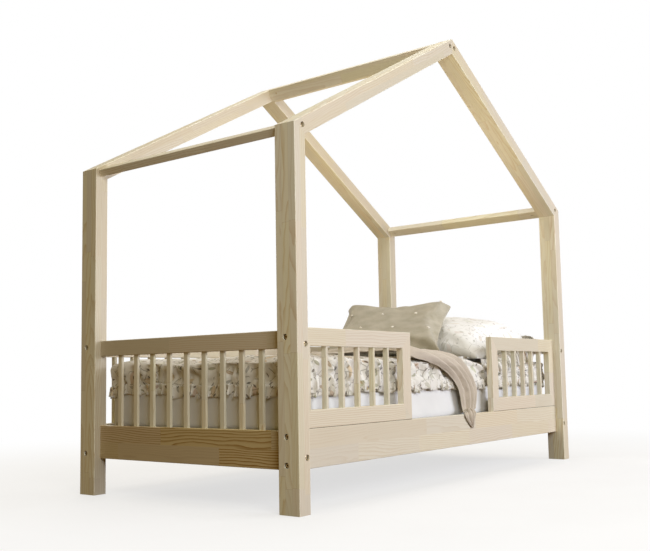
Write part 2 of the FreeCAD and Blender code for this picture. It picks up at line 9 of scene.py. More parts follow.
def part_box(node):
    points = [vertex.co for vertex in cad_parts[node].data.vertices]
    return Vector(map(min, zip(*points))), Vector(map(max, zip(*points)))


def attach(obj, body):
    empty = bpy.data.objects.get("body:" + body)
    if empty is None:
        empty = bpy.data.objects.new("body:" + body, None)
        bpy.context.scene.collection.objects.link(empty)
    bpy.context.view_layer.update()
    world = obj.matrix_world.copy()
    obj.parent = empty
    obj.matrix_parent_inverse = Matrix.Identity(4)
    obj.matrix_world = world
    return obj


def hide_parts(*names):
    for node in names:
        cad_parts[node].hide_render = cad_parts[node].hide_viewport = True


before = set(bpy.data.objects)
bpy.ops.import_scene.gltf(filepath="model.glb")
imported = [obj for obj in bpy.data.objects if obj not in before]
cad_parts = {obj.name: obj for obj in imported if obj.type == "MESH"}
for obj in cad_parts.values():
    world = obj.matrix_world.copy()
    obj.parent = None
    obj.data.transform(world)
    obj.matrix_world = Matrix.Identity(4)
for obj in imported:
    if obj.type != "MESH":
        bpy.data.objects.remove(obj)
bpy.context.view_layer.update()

# ------------------------ studio
# The studio is a wide pale floor under soft lamps: two windows, one overhead and one behind.
# Indirect light meets a brown floor and warm air instead, as a wooden room would give, and
# a small warm lamp over the bedding stands in for the light that it throws up.


def linear(colour):
    """sRGB hex to the linear colour that a shader takes."""
    parts = [int(colour[i:i + 2], 16) / 255 for i in (1, 3, 5)]
    return [p / 12.92 if p <= 0.04045 else ((p + 0.055) / 1.055) ** 2.4 for p in parts] + [1.0]


def add(tree, kind, values=(), give=0):
    """Add a node, set its fields, fill or link its inputs, and give one of its outputs.

    A kind such as Math.ADD names its operation too. Fields have small letters, inputs have
    capitals or numbers, and inputs in plain order need no keys.
    """
    kind, _, operation = kind.partition(".")
    made = tree.nodes.new("ShaderNode" + kind)
    if operation:
        made.operation = operation
    for key, value in values.items() if isinstance(values, dict) else enumerate(values):
        if key == "stops":
            ramp = made.color_ramp
            while len(ramp.elements) < len(value):
                ramp.elements.new(0.5)
            for element, (place, colour) in zip(ramp.elements, value):
                element.position = place
                element.color = linear(colour) if isinstance(colour, str) else [colour] * 3 + [1]
        elif isinstance(key, str) and key[0].islower():
            setattr(made, key, value)
        elif isinstance(value, bpy.types.NodeSocket):
            tree.links.new(value, made.inputs[key])
        else:
            made.inputs[key].default_value = value
    return made if give is None else made.outputs[give]


def new_material(name, coordinates=3):
    """A material, its node tree and a point's place, by default in the piece's own metres."""
    material = bpy.data.materials.new(name)
    material.use_nodes = True
    material.node_tree.nodes.clear()
    return material, material.node_tree, add(material.node_tree, "TexCoord", give=coordinates)


def finish(tree, colour, roughness, relief=None, more=None):
    """End a material: its colour, its roughness, and any relief as height, strength, depth."""
    values = {"Base Color": colour, "Roughness": roughness, **(more or {})}
    if relief:
        values["Normal"] = add(tree, "Bump", {
            "Height": relief[0], "Strength": relief[1], "Distance": relief[2]})
    add(tree, "OutputMaterial", {"Surface": add(tree, "BsdfPrincipled", values)}, give=None)


def pick(*pieces):
    """Select these pieces alone, with the first one active."""
    if bpy.context.object and bpy.context.object.mode != "OBJECT":
        bpy.ops.object.mode_set(mode="OBJECT")
    bpy.ops.object.select_all(action="DESELECT")
    for piece in pieces:
        piece.select_set(True)
    if pieces:
        bpy.context.view_layer.objects.active = pieces[0]


def settle(obj, name):
    """Name a finished piece and put its place into its mesh."""
    pick(obj)
    bpy.ops.object.transform_apply(location=True, rotation=True, scale=True)
    obj.name = name
    obj.data.name = name
    return obj


FLOOR_SIZE = 80.0
FLOOR_DROP = 0.0005            # the bed's feet stand clear of the floor by this
GLOW_FROM, GLOW_TO = 0.8, 3.6  # from the bed's middle, where the floor fades to pure white
pick()
bpy.ops.mesh.primitive_plane_add(size=FLOOR_SIZE, location=(0, 0, -FLOOR_DROP))
floor = settle(bpy.context.object, "floor")
floor_paint, tree, place = new_material("matt_white_floor")
speckle = add(tree, "TexNoise", {"Vector": place, "Scale": 3.0, "Detail": 2.0})
shade = add(tree, "ValToRGB", {"stops": [(0.3, "#f1efeb"), (0.7, "#f6f5f2")], 0: speckle})
paint = add(tree, "BsdfPrincipled", {"Base Color": shade, "Roughness": 0.9})
dull = add(tree, "BsdfPrincipled", {"Base Color": linear("#735530"), "Roughness": 0.9})
seen = add(tree, "LightPath", give=0)
near = add(tree, "MixShader", (seen, dull, paint))
away = add(tree, "VectorMath.LENGTH", (place,), give=1)
away = add(tree, "MapRange", {
    "interpolation_type": "SMOOTHSTEP", "Value": away,
    "From Min": GLOW_FROM, "From Max": GLOW_TO, "To Min": 0.68})
glow = add(tree, "Emission", {"Color": linear("#ffffff"), "Strength": 1.0})
glow = add(tree, "MixShader", (seen, dull, glow))
mixed = add(tree, "MixShader", (away, near, glow))
add(tree, "OutputMaterial", {"Surface": mixed}, give=None)
floor.data.materials.append(floor_paint)

world = bpy.data.worlds.new("studio_air")
bpy.context.scene.world = world
world.use_nodes = True
air = world.node_tree
air.nodes.clear()
AIR_STRENGTH = 0.255
seen = add(air, "LightPath", give=0)
white = add(air, "Background", {"Color": linear("#ffffff"), "Strength": 1.0})
soft = add(air, "Background", {"Color": linear("#ffdd7e"), "Strength": AIR_STRENGTH})
mixed = add(air, "MixShader", (seen, soft, white))
add(air, "OutputWorld", {"Surface": mixed}, give=None)


def soft_light(name, place, aim, size, power, colour):
    lamp = bpy.data.lights.new(name, "AREA")
    lamp.shape = "RECTANGLE"
    lamp.size, lamp.size_y = size
    lamp.energy = power
    lamp.color = linear(colour)[:3]
    holder = bpy.data.objects.new(name, lamp)
    bpy.context.scene.collection.objects.link(holder)
    holder.location = place
    holder.visible_camera = False
    holder.rotation_euler = (Vector(aim) - Vector(place)).to_track_quat("-Z", "Y").to_euler()


soft_light("window", (1.7, -4.3, 1.2), (0.5, 0, 0.6), (3.2, 2.0), 190, "#e6ecfd")
soft_light("side_window", (-2.8, -3.5, 2.3), (-0.4, 0, 1.0), (1.8, 1.8), 94, "#eef2f4")
soft_light("overhead", (-0.4, 0.0, 3.9), (0.5, 0, 0.8), (1.8, 1.8), 60, "#f1f3fb")
soft_light("back_fill", (2.4, 4.2, 2.2), (0.1, 0, 0.7), (2.6, 2.2), 95, "#f6f4ee")
soft_light("bed_bounce", (0.15, 0.0, 0.85), (0.35, 0, 2.0), (1.0, 0.6), 5.2, "#ffeecb")

CAMERA_PLACE = Vector((-3.210, -2.292, 0.430))
CAMERA_AXES = Matrix(((0.60550, -0.06578, -0.79313),
                      (-0.79564, -0.07265, -0.60139),
                      (-0.01806, 0.99519, -0.09633)))
eye = bpy.data.cameras.new("camera")
eye.sensor_width = 36.0
eye.lens = 49.1
eye.shift_x = -0.0045
eye.shift_y = 0.0223
eye.clip_end = 200.0
camera = bpy.data.objects.new("camera", eye)
bpy.context.scene.collection.objects.link(camera)
camera.matrix_world = Matrix.Translation(CAMERA_PLACE) @ CAMERA_AXES.to_4x4()
bpy.context.scene.camera = camera
bpy.context.scene.view_settings.view_transform = "Standard"

# ------------------------ posts and roof frame
# The four posts, the rafters and the three beams are raw pine, glued up from lamellae and
# finger-jointed along their length, then planed and sanded. Each short block has its own
# tone and its own growth rings, which run to long ovals where the saw cut along them.

MM = 0.001
RING_SPACING = 7.0 * MM        # real rings are 2 to 4 mm, too fine to show from here
RING_WANDER = 26.0 * MM        # how far the rings stray from true circles
FIBRE_WIDTH = 1.6 * MM         # real fibres are finer still
PITH_ACROSS = 45.0 * MM        # a block's pith lies up to this far to either side
PITH_DEEP = 16.0 * MM          # and at least this far below
PITH_SPREAD = 50.0 * MM
PITH_LEAN = (50.0 * MM, -20.0 * MM)    # along a block: the range of its lean, and the least
TONE_STEPS = (7.1, 3.7, 1.0)   # keep neighbouring blocks' random numbers apart
WANDER_CELLS = (3.2, 13.0, 13.0)       # in a metre, longest along the grain
FINGER_PITCH = 7.0 * MM
FINGER_DEPTH = 5.0 * MM
GLUE_LINE = 0.5 * MM
STAGGER = 17.3                 # in blocks, so that neighbouring strips never end together
SLACK = 0.2 * MM               # keeps a board's faces clear of its strips' borders
TURN_TO_GRAIN = {"x": (0, 0, 0), "y": (0, 0, -math.pi / 2), "z": (0, math.pi / 2, 0)}
ROOF_SLOPE = math.radians(29.0)


def dress(node, material):
    """Give a CAD node one material."""
    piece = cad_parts[node]
    piece.data.materials.clear()
    piece.data.materials.append(material)


def cell(tree, value):
    """The number of the cell that a value lies in, and its way from the cell's middle."""
    number = add(tree, "Math.FLOOR", (value,))
    inside = add(tree, "Math.SUBTRACT", (value, number))
    return number, add(tree, "Math.SUBTRACT", (inside, 0.5))


def pine(node, turn, strips, block, early="#e4dfca", late="#bfa372", pitch=None, seed=0.0,
         contrast=0.42, shadow_gap=None):
    """Pine for one CAD node: its grain runs along X after the turn."""
    matrix = np.array(Euler(turn).to_matrix())
    points = np.array([v.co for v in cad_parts[node].data.vertices]) @ matrix.T
    low = points.min(0) - SLACK
    size = points.max(0) - points.min(0) + 2 * SLACK
    widths = [size[1] / strips[0], size[2] / strips[1]]
    if pitch:
        axis, step, wide = pitch
        low[axis] -= (step - wide) / 2
        widths[axis - 1] = step
    material, tree, place = new_material("pine_" + node)
    place = add(tree, "Mapping", {
        "Vector": place, "Location": [-value for value in low], "Rotation": turn})
    along, across, deep = add(tree, "SeparateXYZ", (place,), give=None).outputs

    # Which strip and which finger-jointed block a point lies in, and three random numbers
    # that the block keeps.
    strip_across, in_across = cell(tree, add(tree, "Math.DIVIDE", (across, widths[0])))
    strip_deep, in_deep = cell(tree, add(tree, "Math.DIVIDE", (deep, widths[1])))
    strip = add(tree, "CombineXYZ", (strip_across, strip_deep, seed))
    strip_random = add(tree, "TexWhiteNoise", {"noise_dimensions": "3D", 0: strip})
    finger = add(tree, "Math.PINGPONG", (deep, FINGER_PITCH / 2))
    finger = add(tree, "Math.MULTIPLY", (finger, FINGER_DEPTH / FINGER_PITCH * 2))
    run = add(tree, "Math.ADD", (along, finger))
    run = add(tree, "Math.DIVIDE", (run, block))
    run = add(tree, "Math.MULTIPLY_ADD", (strip_random, STAGGER, run))
    block_number, in_block = cell(tree, run)
    spot = add(tree, "CombineXYZ", (block_number, block_number, seed))
    spot = add(tree, "VectorMath.MULTIPLY_ADD", (strip, TONE_STEPS, spot))
    dice = add(tree, "TexWhiteNoise", {"noise_dimensions": "3D", 0: spot}, give=1)
    dice = add(tree, "SeparateColor", (dice,), give=None).outputs

    # The growth rings round the block's own pith, and the fibres along them.
    stretch = add(tree, "VectorMath.MULTIPLY", (place, WANDER_CELLS))
    wander = add(tree, "TexNoise", {"Vector": stretch, "Scale": 1.0, "Detail": 3.0})
    pith_across = add(tree, "Math.MULTIPLY_ADD", (dice[0], 2 * PITH_ACROSS, -PITH_ACROSS))
    pith_across = add(tree, "Math.MULTIPLY_ADD", (in_across, widths[0], pith_across))
    lean = add(tree, "Math.MULTIPLY_ADD", (dice[2], *PITH_LEAN))
    lean = add(tree, "Math.MULTIPLY", (in_block, lean))
    pith_deep = add(tree, "Math.MULTIPLY_ADD", (dice[1], PITH_SPREAD, PITH_DEEP))
    pith_deep = add(tree, "Math.MULTIPLY_ADD", (in_deep, widths[1], pith_deep))
    pith_deep = add(tree, "Math.ADD", (pith_deep, lean))
    reach = add(tree, "CombineXYZ", (pith_across, pith_deep))
    reach = add(tree, "VectorMath.LENGTH", (reach,), give=1)
    reach = add(tree, "Math.MULTIPLY_ADD", (wander, RING_WANDER, reach))
    ring = add(tree, "Math.DIVIDE", (reach, RING_SPACING))
    ring = add(tree, "Math.FRACT", (ring,))
    ring = add(tree, "ValToRGB", {"stops": [
        (0.0, 0.02), (0.50, 0.08), (0.84, 0.70), (0.93, 1.0), (1.0, 0.02)], 0: ring})
    thread = add(tree, "VectorMath.MULTIPLY", (
        place, (9.0, 1 / FIBRE_WIDTH, 1 / FIBRE_WIDTH)))
    fibre = add(tree, "TexNoise", {"Vector": thread, "Scale": 0.5, "Detail": 2.0})

    # Colour: early to late wood by ring and fibre, a tone for each block, thin glue lines, and
    # where asked a painted shadow along one edge.
    depth = add(tree, "Math.MULTIPLY_ADD", (dice[1], contrast * 1.3, contrast * 0.2))
    depth = add(tree, "Math.MULTIPLY", (ring, depth))
    streak = add(tree, "Math.SUBTRACT", (fibre, 0.5))
    depth = add(tree, "Math.MULTIPLY_ADD", (streak, 0.3, depth))
    wood = add(tree, "Mix", {
        "data_type": "RGBA", "clamp_factor": True,
        0: depth, 6: linear(early), 7: linear(late)}, give=2)
    hue = add(tree, "Math.MULTIPLY_ADD", (dice[2], 0.018, 0.490))
    richness = add(tree, "Math.MULTIPLY_ADD", (dice[0], 0.35, 0.85))
    value = add(tree, "Math.MULTIPLY_ADD", (dice[1], 0.13, 0.92))
    wood = add(tree, "HueSaturation", {
        "Hue": hue, "Saturation": richness, "Value": value, "Color": wood})
    edge_block = add(tree, "Math.ABSOLUTE", (in_block,))
    edge_block = add(tree, "Math.GREATER_THAN", (edge_block, 0.5 - GLUE_LINE / block))
    edge_across = add(tree, "Math.ABSOLUTE", (in_across,))
    edge_across = add(tree, "Math.GREATER_THAN", (
        edge_across, 0.5 - GLUE_LINE / 2 / widths[0]))
    glue = add(tree, "Math.MAXIMUM", (edge_block, edge_across))
    glue = add(tree, "Math.MULTIPLY", (glue, 0.3))
    wood = add(tree, "Mix", {
        "data_type": "RGBA", 0: glue, 6: wood, 7: linear("#8a6437")}, give=2)
    # Painted shadow: the lowest few millimetres of the board are darkened, as shade falls into
    # the gap below it.
    if shadow_gap:
        gap_shadow = add(tree, "Math.LESS_THAN", ((along, across, deep)[shadow_gap[0]], shadow_gap[1]))
        gap_shadow = add(tree, "Math.MULTIPLY", (gap_shadow, 0.75))
        wood = add(tree, "Mix", {
            "data_type": "RGBA", 0: gap_shadow, 6: wood, 7: linear("#5a4226")}, give=2)
    height = add(tree, "Math.MULTIPLY_ADD", (fibre, 0.6, ring))
    rough = add(tree, "Math.MULTIPLY_ADD", (fibre, 0.14, 0.5))
    finish(tree, wood, rough, (height, 0.25, 0.4 * MM), {"IOR": 1.5})
    dress(node, material)


for end in ("foot", "head"):
    slope = ROOF_SLOPE if end == "foot" else -ROOF_SLOPE
    for side in ("near", "far"):
        seed = {"foot": 1.0, "head": 2.0}[end] + {"near": 0.1, "far": 0.3}[side]
        pine("post_%s_%s" % (end, side), TURN_TO_GRAIN["z"], (3, 2), 0.42, seed=seed)
        pine("rafter_%s_%s" % (end, side), (0, slope, 0), (3, 2), 0.40, seed=seed + 4.0)
    pine("eave_beam_" + end, TURN_TO_GRAIN["y"], (1, 1), 0.45, seed=slope * 9.0)
pine("ridge_beam", TURN_TO_GRAIN["y"], (2, 2), 0.45, seed=11.0)

# ------------------------ panels and guards
# The end panels, side rails and guards are 28 mm boards edge-glued from pine strips. The
# slats are thin upright sticks let into the rails, and the guards' corners are mitred.

SLAT_WIDE = 22.0 * MM
SLAT_THIN = 11.0 * MM
END_PITCH = 88.0 * MM
GUARD_PITCH = 92.5 * MM
for end in ("foot", "head"):
    shift = 0.0 if end == "foot" else 3.0
    pine(end + "_panel_bottom_board", TURN_TO_GRAIN["y"], (1, 2), 0.52, seed=21.4 + shift,
         early="#dccfa9", late="#8f6e3c", contrast=0.95)
    pine(end + "_panel_top_rail", TURN_TO_GRAIN["y"], (1, 1), 0.46, seed=22.0 + shift)
    pine(end + "_panel_slats", TURN_TO_GRAIN["z"], (9, 1), 0.6, seed=23.0 + shift,
         pitch=(1, END_PITCH, SLAT_WIDE))
    guard = "guard_" + end
    # The guards' bottom rails get a painted shadow along their lower edge, for the gap over the
    # side rails.
    pine(guard + "_bottom_rail", TURN_TO_GRAIN["x"], (1, 1), 0.62, seed=31.0 + shift,
         shadow_gap=(2, 3.0 * MM))
    pine(guard + "_top_rail", TURN_TO_GRAIN["x"], (1, 1), 0.55, seed=32.0 + shift)
    pine(guard + "_post_stile", TURN_TO_GRAIN["z"], (1, 1), 0.5, seed=33.0 + shift)
    pine(guard + "_free_stile", TURN_TO_GRAIN["z"], (1, 1), 0.5, seed=34.0 + shift)
    pine(guard + "_slats", TURN_TO_GRAIN["z"], (1, 5), 0.5, seed=35.0 + shift,
         pitch=(2, GUARD_PITCH, SLAT_THIN))
pine("side_rail_near", TURN_TO_GRAIN["x"], (1, 2), 0.40, seed=41.0)
pine("side_rail_far", TURN_TO_GRAIN["x"], (1, 2), 0.40, seed=42.0)
pine("back_panel_top_rail", TURN_TO_GRAIN["x"], (1, 1), 0.48, seed=43.0)
pine("back_panel_slats", TURN_TO_GRAIN["z"], (1, 21), 0.5, seed=44.0,
     pitch=(2, GUARD_PITCH, SLAT_THIN))

# ------------------------ bed base
# Sixteen planed pine slats lie across two ledgers screwed to the side rails. Two woven
# straps are stapled under them, so that they roll up for transport.

pine("slat_ledger_near", TURN_TO_GRAIN["x"], (1, 1), 0.6, late="#b5884f", seed=51.0)
pine("slat_ledger_far", TURN_TO_GRAIN["x"], (1, 1), 0.6, late="#b5884f", seed=52.0)
pine("base_slats", TURN_TO_GRAIN["y"], (16, 1), 0.9, late="#b5884f", seed=53.0)
for name in ("mitre_tenons", "guard_tenons"):
    pine(name, TURN_TO_GRAIN["z"], (1, 1), 0.3, early="#d2b08c", late="#b9946c", seed=54.0)

strap_weave, tree, place = new_material("woven_polyester_strap")
rows = add(tree, "TexWave", {
    "bands_direction": "X", "Vector": place, "Scale": 160.0, "Distortion": 0.5})
shade = add(tree, "ValToRGB", {"stops": [(0.2, "#cfccc2"), (0.8, "#e9e7df")], 0: rows})
finish(tree, shade, 0.75, (rows, 0.4, 0.3 * MM))
dress("base_straps", strap_weave)

# ------------------------ bolts and nuts
# Zinc-plated furniture bolts sit in counterbored holes on washers, with their hexagon sockets
# showing.
# The washers' dark brown is painted shade, for the shadow deep in each counterbore.
# They turn into cross dowel nuts let in from the inner side.

HEAD_RADIUS = 6.5 * MM
HEAD_HEIGHT = 5.0 * MM
COUNTERBORE = 8.0 * MM
SOCKET_RADIUS = 2.9 * MM
SOCKET_DEPTH = 3.2 * MM
SHANK_RADIUS = 2.9 * MM
WASHER_RADIUS = 9.6 * MM
WASHER_THICK = 1.0 * MM
NUT_ROOM = 5.2 * MM            # the nut's radius and a little play
# Painted shade: the washers' dark brown stands for the shadow on the counterbores' floors.
washer_painted_shade, tree, place = new_material("washer_steel_painted_shade")
clouds = add(tree, "TexNoise", {"Vector": place, "Scale": 300.0, "Detail": 2.0})
shade = add(tree, "ValToRGB", {"stops": [(0.3, "#2c2014"), (0.7, "#4a3824")], 0: clouds})
finish(tree, shade, 0.55, more={"Metallic": 0.6})
zinc, tree, place = new_material("zinc_plated_steel")
clouds = add(tree, "TexNoise", {"Vector": place, "Scale": 220.0, "Detail": 3.0})
shade = add(tree, "ValToRGB", {"stops": [(0.3, "#b39c74"), (0.7, "#dcc9a2")], 0: clouds})
gloss = add(tree, "Math.MULTIPLY_ADD", (clouds, 0.2, 0.28))
finish(tree, shade, gloss, more={"Metallic": 1.0})
dress("cross_dowel_nuts", zinc)


def change(obj, kind, **settings):
    """Put one modifier into the mesh of the active piece."""
    modifier = obj.modifiers.new("change", kind)
    for key, value in settings.items():
        setattr(modifier, key, value)
    bpy.ops.object.modifier_apply(modifier="change")


def rounded(obj, width, segments, limit="NONE"):
    """Round the edges of the active piece."""
    change(obj, "BEVEL", width=width, segments=segments, limit_method=limit)


def cylinder(radius, depth, height=0.0, sides=32):
    """An upright cylinder with its middle at this height."""
    pick()
    bpy.ops.mesh.primitive_cylinder_add(vertices=sides, radius=radius, depth=depth,
                                        location=(0, 0, height))
    return bpy.context.object


def bolt_model():
    """One bolt that points along -Z, with its seat at the origin."""
    head = cylinder(HEAD_RADIUS, HEAD_HEIGHT, HEAD_HEIGHT / 2)
    rounded(head, 0.7 * MM, 2, "ANGLE")
    key = cylinder(SOCKET_RADIUS, SOCKET_DEPTH * 2, HEAD_HEIGHT, sides=6)
    pick(head)
    change(head, "BOOLEAN", operation="DIFFERENCE", object=key)
    bpy.data.objects.remove(key)
    head.data.materials.append(zinc)
    return head


def place_bolts(name, seats):
    """Copies of the bolt, each with its own mesh, joined under the CAD node's name."""
    model = bolt_model()
    copies = []
    for seat, inward, reach in seats:
        twin = model.copy()
        twin.data = model.data.copy()
        bpy.context.scene.collection.objects.link(twin)
        turn = Vector(inward).to_track_quat("-Z", "Y").to_matrix().to_4x4()
        twin.matrix_world = Matrix.Translation(Vector(seat)) @ turn
        copies.append(twin)
        shank = reach - COUNTERBORE - NUT_ROOM
        rod = cylinder(SHANK_RADIUS, shank, sides=12)
        rod.data.materials.append(zinc)
        rod.matrix_world = twin.matrix_world @ Matrix.Translation((0, 0, -shank / 2))
        copies.append(rod)
        washer = cylinder(WASHER_RADIUS, WASHER_THICK)
        washer.matrix_world = twin.matrix_world @ Matrix.Translation((0, 0, WASHER_THICK / 2))
        washer.data.materials.append(zinc)     # keeps the bolt's order of slots
        washer.data.materials.append(washer_painted_shade)
        for polygon in washer.data.polygons:
            polygon.material_index = 1
        copies.append(washer)
    bpy.data.objects.remove(model)
    pick(*copies)
    bpy.ops.object.join()
    bolts = settle(bpy.context.object, name + "_detailed")
    bpy.ops.object.shade_smooth_by_angle(angle=math.radians(35))
    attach(bolts, "root")
    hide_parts(name)


OUT_X = 1060.0 * MM
OUT_Y = 538.0 * MM
SIDE_REACH = 101.0 * MM
END_REACH = 122.0 * MM
PANEL_MIDDLE = 1018.0 * MM
SIDE_BOLTS = ((-487.0 * MM, (0.153, 0.242, 0.555)), (505.0 * MM, (0.154, 0.554)))
END_BOLT_HEIGHTS = (0.176, 0.532)
EAVE_HEIGHT = 1.246            # of the roof's outer corner over the posts
seats = []
for end in (-1, 1):
    for y, heights in SIDE_BOLTS:
        for z in heights:
            seats.append(((end * (OUT_X - COUNTERBORE), y, z), (-end, 0, 0), SIDE_REACH))
place_bolts("side_bolts", seats)
seats = []
for end in (-1, 1):
    for side in (-1, 1):
        for z in END_BOLT_HEIGHTS:
            seats.append(((end * PANEL_MIDDLE, side * (OUT_Y - COUNTERBORE), z), (0, -side, 0),
                          END_REACH))
place_bolts("end_bolts", seats)
seats = []
up, under = (math.cos(ROOF_SLOPE), math.sin(ROOF_SLOPE)), (math.sin(ROOF_SLOPE),
                                                           -math.cos(ROOF_SLOPE))
ridge_up = OUT_X / math.cos(ROOF_SLOPE) - 33.0 * MM
for slope_up, below in ((36.0 * MM, 24.0 * MM), (ridge_up, 23.0 * MM)):
    x = -OUT_X + up[0] * slope_up + under[0] * below
    z = EAVE_HEIGHT + up[1] * slope_up + under[1] * below
    for end in (-1, 1):
        for side in (-1, 1):
            seats.append(((-end * x, side * (OUT_Y - COUNTERBORE), z), (0, -side, 0), END_REACH))
place_bolts("roof_bolts", seats)

# ------------------------ mattress
# A foam mattress 165 mm thick in a white jersey fitted sheet. The sheet is drawn smooth by
# its elastic, with soft pulls at the corners and a shallow roll along its lower edge.


def reshape(obj, rule):
    """Move every vertex to where the rule puts it, from its place and its normal."""
    mesh = obj.data
    normals = [vertex.normal.copy() for vertex in mesh.vertices]
    places = [rule(vertex.co.copy(), normal) for vertex, normal in zip(mesh.vertices, normals)]
    mesh.vertices.foreach_set("co", np.array(places, dtype=float).ravel())
    mesh.update()


low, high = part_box("mattress")
middle = (low + high) / 2
pick()
bpy.ops.mesh.primitive_cube_add(size=1, location=middle)
mattress = bpy.context.object
mattress.scale = high - low
bpy.ops.object.transform_apply(scale=True)
rounded(mattress, 26 * MM, 6)
mattress.data.remesh_voxel_size = 14 * MM
bpy.ops.object.voxel_remesh()
MATTRESS_FOOT = low.z
ROLL = 12 * MM                 # the rolled edge's height above the foot, and its width


def drawn_sheet(spot, normal):
    """The fitted sheet's soft pulls, fine creases and rolled lower edge."""
    pull = noise.noise(Vector((spot.x * 5, spot.y * 5, spot.z * 14 + 3)))
    crease = noise.noise(Vector((spot.x * 26 + spot.z * 20, spot.y * 26, spot.z * 9)))
    roll = math.exp(-((spot.z - MATTRESS_FOOT - ROLL) / ROLL) ** 2)
    return spot + normal * (0.0022 * pull + 0.0012 * crease - 0.004 * roll)


reshape(mattress, drawn_sheet)
mattress = settle(mattress, "mattress_in_sheet")
change(mattress, "SUBSURF", levels=1, render_levels=1)
bpy.ops.object.shade_smooth()
jersey, tree, place = new_material("white_cotton_jersey")
knit = add(tree, "TexNoise", {"Vector": place, "Scale": 420.0, "Detail": 2.0})
soil = add(tree, "TexNoise", {"Vector": place, "Scale": 4.0, "Detail": 3.0})
shade = add(tree, "ValToRGB", {"stops": [(0.3, "#d7d6d3"), (0.7, "#dfdedb")], 0: soil})
finish(tree, shade, 0.85, (knit, 0.12, 0.6 * MM), {"Sheen Weight": 0.2})
mattress.data.materials.append(jersey)
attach(mattress, "root")
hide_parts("mattress")

# ------------------------ duvet
# A light duvet in a white cotton cover with a small leaf print. It is crumpled, as after a
# night, its sides hang between mattress and guards in slanting gathers, and a gathered
# frill is sewn round its hem.

# For each size of leaf: spacing, half length, half width, share of places that hold one,
# strength of the ink, the inks, and a shift of its own.
LEAVES = (
    (88 * MM, 33 * MM, 13 * MM, 0.70, 0.62, ("#a9ab7f", "#c9ab76", "#b3b09c", "#bfa08a"), 0.37),
    (48 * MM, 17 * MM, 6.0 * MM, 0.62, 0.72, ("#86835a", "#9c7c4c", "#8d8a80", "#97745c"), 1.71),
    (33 * MM, 10.5 * MM, 3.6 * MM, 0.50, 0.88, ("#3f392f", "#574a3a", "#6b655a", "#3c3a35"),
     2.93))
STEM_SPACING = 46 * MM
LEAF_EDGE = 900.0              # how sharply its outline is printed
FULL_TURN = 6.283
UV_MAP = 2                     # the output of the coordinates that holds the UV map


def printed_cotton(name, base="#dedad0", ink_share=1.0):
    """White cotton printed with pale leaves, small sprigs and thin stems, on the UV map."""
    material, tree, place = new_material(name, UV_MAP)
    cloth = linear(base)
    for spacing, half, slim, share, strength, colours, shift in LEAVES:
        spot = add(tree, "VectorMath.ADD", (place, (shift, shift * 0.7, 0)))
        nearest = add(tree, "TexVoronoi", {
            "voronoi_dimensions": "2D", "Vector": spot,
            "Scale": 1 / spacing, "Randomness": 0.85}, give=None)
        dice = add(tree, "SeparateColor", (nearest.outputs["Color"],), give=None).outputs
        inside = add(tree, "VectorMath.SUBTRACT", (spot, nearest.outputs["Position"]))
        angle = add(tree, "Math.MULTIPLY", (dice[0], FULL_TURN))
        inside = add(tree, "VectorRotate", {
            "rotation_type": "Z_AXIS", "Vector": inside, "Angle": angle})
        parts = add(tree, "SeparateXYZ", (inside,), give=None).outputs
        outline = add(tree, "Math.DIVIDE", (parts[0], half))
        outline = add(tree, "Math.MULTIPLY", (outline, outline))
        outline = add(tree, "Math.SUBTRACT", (1.0, outline))
        outline = add(tree, "Math.MULTIPLY", (outline, slim))
        beside = add(tree, "Math.ABSOLUTE", (parts[1],))
        outline = add(tree, "Math.SUBTRACT", (outline, beside))
        leaf = add(tree, "Math.MULTIPLY", (outline, LEAF_EDGE))
        leaf = add(tree, "Clamp", (leaf,))
        vein = add(tree, "Math.LESS_THAN", (beside, slim * 0.09))
        vein = add(tree, "Math.MULTIPLY_ADD", (vein, -0.45, 1.0))
        leaf = add(tree, "Math.MULTIPLY", (leaf, vein))
        kept = add(tree, "Math.LESS_THAN", (dice[1], share))
        leaf = add(tree, "Math.MULTIPLY", (leaf, kept))
        leaf = add(tree, "Math.MULTIPLY", (leaf, strength * ink_share))
        ink = add(tree, "ValToRGB", {
            "stops": list(zip((0.0, 0.3, 0.6, 0.85), colours)), 0: dice[2]})
        ink.node.color_ramp.interpolation = "CONSTANT"
        cloth = add(tree, "Mix", {"data_type": "RGBA", 0: leaf, 6: cloth, 7: ink}, give=2)
    stem = add(tree, "TexVoronoi", {
        "voronoi_dimensions": "2D", "feature": "DISTANCE_TO_EDGE",
        "Vector": place, "Scale": 1 / STEM_SPACING, "Randomness": 1.0})
    broken = add(tree, "TexNoise", {"Vector": place, "Scale": 19.0})
    stem = add(tree, "Math.LESS_THAN", (stem, 0.035))
    broken = add(tree, "Math.GREATER_THAN", (broken, 0.5))
    stem = add(tree, "Math.MULTIPLY", (stem, broken))
    stem = add(tree, "Math.MULTIPLY", (stem, 0.6 * ink_share))
    cloth = add(tree, "Mix", {
        "data_type": "RGBA", 0: stem, 6: cloth, 7: linear("#7d7766")}, give=2)
    crumple = add(tree, "TexNoise", {"Vector": place, "Scale": 60.0, "Detail": 4.0})
    finish(tree, cloth, 0.85, (crumple, 0.35, 3.0 * MM), {"Sheen Weight": 0.15})
    return material


def flat_pattern(obj, coordinates):
    """Give a piece its own UV map, in metres, from one pair for each vertex."""
    while obj.data.uv_layers:
        obj.data.uv_layers.remove(obj.data.uv_layers[0])
    layer = obj.data.uv_layers.new(name="flat")
    values = np.array(coordinates)[[loop.vertex_index for loop in obj.data.loops]]
    layer.data.foreach_set("uv", values.ravel())


CLOTH_FRAMES = 20
CLOTH_GAP = 3 * MM


